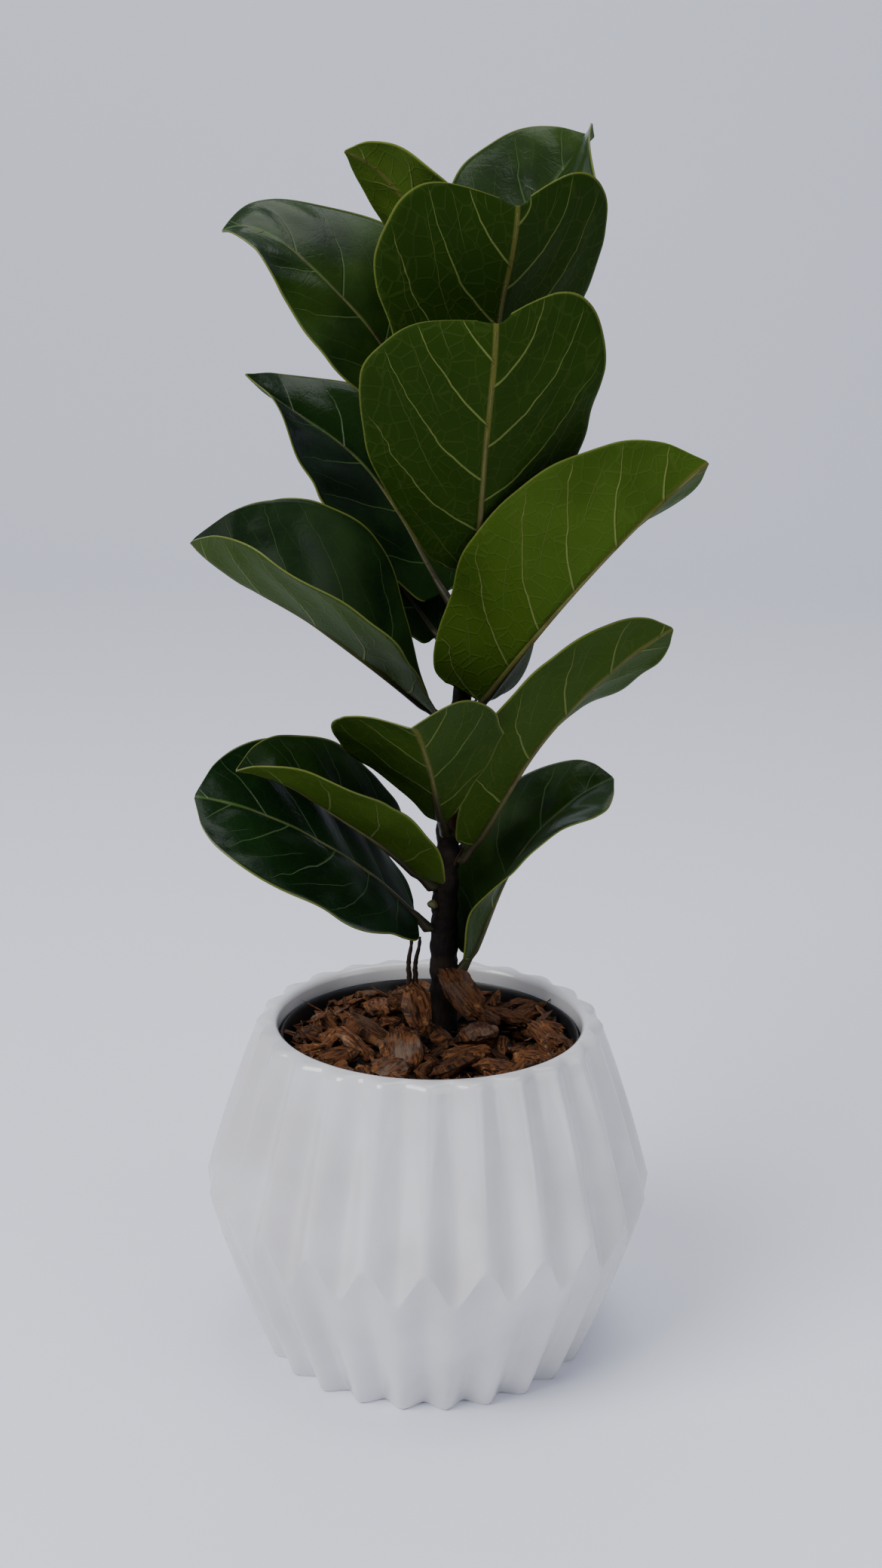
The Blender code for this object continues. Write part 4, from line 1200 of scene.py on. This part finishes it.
def roughen(obj, rng, depth):
    """Gives a smooth chip torn ends and fibres along its length, and a UV map along the grain."""
    count = len(obj.data.vertices)
    points = np.zeros(count * 3)
    obj.data.vertices.foreach_get("co", points)
    points = points.reshape(-1, 3)
    normals = np.array([v.normal[:] for v in obj.data.vertices])
    middle, axes = long_axes(points)
    local = (points - middle) @ axes.T
    reach = np.abs(local).max(0)
    shift = rng.uniform(0, 50)
    for i in range(count):
        a, b, c = local[i]
        torn = noise.noise(Vector((shift, b * 700, c * 500)))
        torn = torn * (abs(a) / reach[0]) ** 3 * reach[0] * 0.30
        fibre = noise.fractal(Vector((a * 110 + shift, b * 620, c * 620)), 0.8, 2.0, 3)
        sheet = noise.noise(Vector((a * 75 + shift, b * 210, c * 210)))
        flake = math.floor(FLAKE_STEPS * sheet) / FLAKE_STEPS
        points[i] += (axes[0] * math.copysign(1, a) * torn
                      + normals[i] * depth * (0.8 * fibre + 2.2 * flake))
    obj.data.vertices.foreach_set("co", points.ravel())
    layer = obj.data.uv_layers[0] if obj.data.uv_layers else obj.data.uv_layers.new()
    layer.name = "grain"
    for loop in obj.data.loops:
        a, b, c = local[loop.vertex_index]
        layer.data[loop.index].uv = (a + shift, b + 0.7 * c + shift)
    obj.data.update()


def chip_from(node, rng):
    """A chip's own solid, merged, divided finely and torn into flakes and fibres."""
    begin()
    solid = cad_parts[node]
    chip = bpy.data.objects.new(node + "_fine", solid.data.copy())
    bpy.context.scene.collection.objects.link(chip)
    chip.data.materials.clear()
    modify(chip, "WELD", merge_threshold=0.00001)
    modify(chip, "TRIANGULATE")
    levels = 4 if node.startswith("bark_slab") else 3
    modify(chip, "SUBSURF", subdivision_type="SIMPLE", levels=levels, render_levels=levels)
    roughen(chip, rng, CHIP_ROUGHNESS)
    smooth(chip, 24)
    tint(chip, rng.uniform(0.25, 1.1), rng.uniform(0.0, 1.0) ** 2)
    return chip


class FIG_OT_bark(bpy.types.Operator):
    """Torn chips of bark, and small bits between them"""

    bl_idname = "fig.bark"
    bl_label = "Bark"

    def execute(self, context):
        bed = context.scene.fig_bed
        rng = random.Random(BARK_SEED)
        paint = bark_paint(bed)
        for node in sorted(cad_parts):
            if node.startswith("bark"):
                chip = chip_from(node, rng)
                dress(chip, paint)
                hand_over(chip, "bark", node)
        bits = []
        room = grow_pot_radius(SOIL_TOP) - 0.004
        for i in range(bed.bits):
            begin()
            bpy.ops.mesh.primitive_ico_sphere_add(subdivisions=1, radius=1.0)
            bit = bpy.context.object
            bit.name = f"bark_bit_{i}"
            reach = bed.bit_size * rng.uniform(0.4, 1.5)
            size = Vector((reach, reach * rng.uniform(0.25, 0.7), reach * rng.uniform(0.08, 0.22)))
            if i % 6 == 0:
                size = Vector((reach * 1.6, 0.0006, 0.0004))
            by_wall = i % 5 < 2
            share = rng.uniform(0.84, 1.0) if by_wall else math.sqrt(rng.random())
            away, around = room * share, rng.uniform(0, 2 * math.pi)
            x, y = away * math.cos(around), away * math.sin(around)
            near = math.hypot(x - STEM_FOOT.x, y - STEM_FOOT.y)
            height = SOIL_TOP + BARK_HEAP * math.exp(-((near / BARK_HEAP_RADIUS) ** 2))
            height += rng.uniform(0.001, 0.009)
            height += WALL_RISE * by_wall
            turn = Euler((rng.uniform(-0.6, 0.6), rng.uniform(-0.6, 0.6), rng.uniform(0, 6.3)))
            turn = turn.to_matrix()
            jag = [rng.uniform(0.55, 1.25) for _ in bit.data.vertices]
            for vertex, swell in zip(bit.data.vertices, jag):
                local = Vector((vertex.co.x * size.x, vertex.co.y * size.y,
                                vertex.co.z * size.z)) * swell
                vertex.co = turn @ local + Vector((x, y, height))
            roughen(bit, rng, 0.0)
            tint(bit, rng.uniform(0.1, 1.0), rng.uniform(0.0, 1.0) ** 3)
            bits.append(bit)
        if bits:
            small = join(bits, "bark_bits")
            dress(small, paint)
            hand_over(small, "bark")
        return {"FINISHED"}


# Stage

LIGHTS = (  # name, place, size and power
    ("key_light", (-1.5, -1.3, 1.9), 1.6, 70.0),
    ("fill_light", (1.7, -1.4, 1.1), 1.8, 15.0),
    ("top_light", (0.2, 0.3, 2.4), 1.6, 26.0))
LIGHT_AIM = Vector((0.0, 0.0, 0.28))
SKY = (0.72, 0.79, 1.0, 1.0)
SKY_STRENGTH = 0.36
SENSOR_WIDTH = 36.0
FLOOR_FRONT = 2.4  # how far the floor reaches in front of the pot
FLOOR_FLAT = 4.2  # length of floor before it bends up
FLOOR_BEND = 0.9  # radius of the bend
FLOOR_LENGTH = 6.0
FLOOR_WIDTH = 9.0


class FIG_OT_stage(bpy.types.Operator):
    """Pale floor that runs up into a backdrop, soft lights and the camera"""

    bl_idname = "fig.stage"
    bl_label = "Stage"

    def execute(self, context):
        stage = context.scene.fig_stage
        floor = grid("floor", 2, 60)

        def place(p):
            along, x = (p.y + 0.5) * FLOOR_LENGTH, p.x * FLOOR_WIDTH
            if along < FLOOR_FLAT:
                return Vector((x, along - FLOOR_FRONT, 0.0))
            angle = min((along - FLOOR_FLAT) / FLOOR_BEND, math.pi / 2)
            rise = max(0.0, along - FLOOR_FLAT - FLOOR_BEND * math.pi / 2)
            return Vector((x, FLOOR_FLAT - FLOOR_FRONT + FLOOR_BEND * math.sin(angle),
                           FLOOR_BEND * (1 - math.cos(angle)) + 4 * rise))

        move_points(floor, place)
        smooth(floor)
        paint = Paint("pale_floor")
        cloud = paint.noise(1.5, 3.0)
        tone = paint.blend(cloud, stage.floor, tuple(c * 0.97 for c in stage.floor))
        dress(floor, paint.set(Base_Color=tone, Roughness=0.62,
                               Normal=paint.bump(paint.noise(60.0, 3.0), 0.001, 0.1)))
        for name, stand, size, power in LIGHTS:
            bpy.ops.object.light_add(type="AREA", location=stand)
            light = bpy.context.object
            light.name = name
            light.data.energy = power
            light.data.size = size
            aim = LIGHT_AIM - Vector(stand)
            light.rotation_euler = aim.to_track_quat("-Z", "Y").to_euler()
        world = bpy.data.worlds.new("studio")
        world.use_nodes = True
        back = world.node_tree.nodes["Background"]
        back.inputs["Color"].default_value = SKY
        back.inputs["Strength"].default_value = SKY_STRENGTH
        context.scene.world = world
        bpy.ops.object.camera_add()
        camera = bpy.context.object
        camera.name = "camera"
        camera.matrix_world = (Matrix.Translation(stage.camera_place)
                               @ Matrix.Rotation(math.pi / 2 - stage.camera_pitch, 4, "X")
                               @ Matrix.Rotation(stage.camera_roll, 4, "Z"))
        camera.data.sensor_width = SENSOR_WIDTH
        camera.data.lens = stage.lens
        context.scene.camera = camera
        return {"FINISHED"}


class FIG_PT_panel(bpy.types.Panel):
    """Sizes, colours and steps of the potted fig"""

    bl_idname = "FIG_PT_panel"
    bl_label = "Potted fig"
    bl_space_type = "VIEW_3D"
    bl_region_type = "UI"
    bl_category = "Fig"

    def draw(self, context):
        for operator in OPERATORS:
            self.layout.operator(operator.bl_idname)
        for name in SETTINGS:
            box = self.layout.box()
            group = getattr(context.scene, name)
            for key in group.__annotations__:
                box.prop(group, key)


SETTINGS = {"fig_pot": FigPot, "fig_bed": FigBed, "fig_stem": FigStem, "fig_leaf": FigLeaf,
            "fig_stage": FigStage}
OPERATORS = (FIG_OT_pot, FIG_OT_grow_pot, FIG_OT_soil, FIG_OT_stem, FIG_OT_twigs_and_buds,
             FIG_OT_leaves, FIG_OT_bark, FIG_OT_stage)


def register():
    for name, group in SETTINGS.items():
        bpy.utils.register_class(group)
        setattr(bpy.types.Scene, name, PointerProperty(type=group))
    for operator in OPERATORS:
        bpy.utils.register_class(operator)
    bpy.utils.register_class(FIG_PT_panel)


def unregister():
    bpy.utils.unregister_class(FIG_PT_panel)
    for operator in reversed(OPERATORS):
        bpy.utils.unregister_class(operator)
    for name, group in reversed(list(SETTINGS.items())):
        delattr(bpy.types.Scene, name)
        bpy.utils.unregister_class(group)


def main():
    register()
    bpy.ops.fig.pot()
    bpy.ops.fig.grow_pot()
    bpy.ops.fig.soil()
    bpy.ops.fig.stem()
    bpy.ops.fig.twigs_and_buds()
    bpy.ops.fig.leaves()
    bpy.ops.fig.bark()
    bpy.ops.fig.stage()


if __name__ == "__main__":
    main()
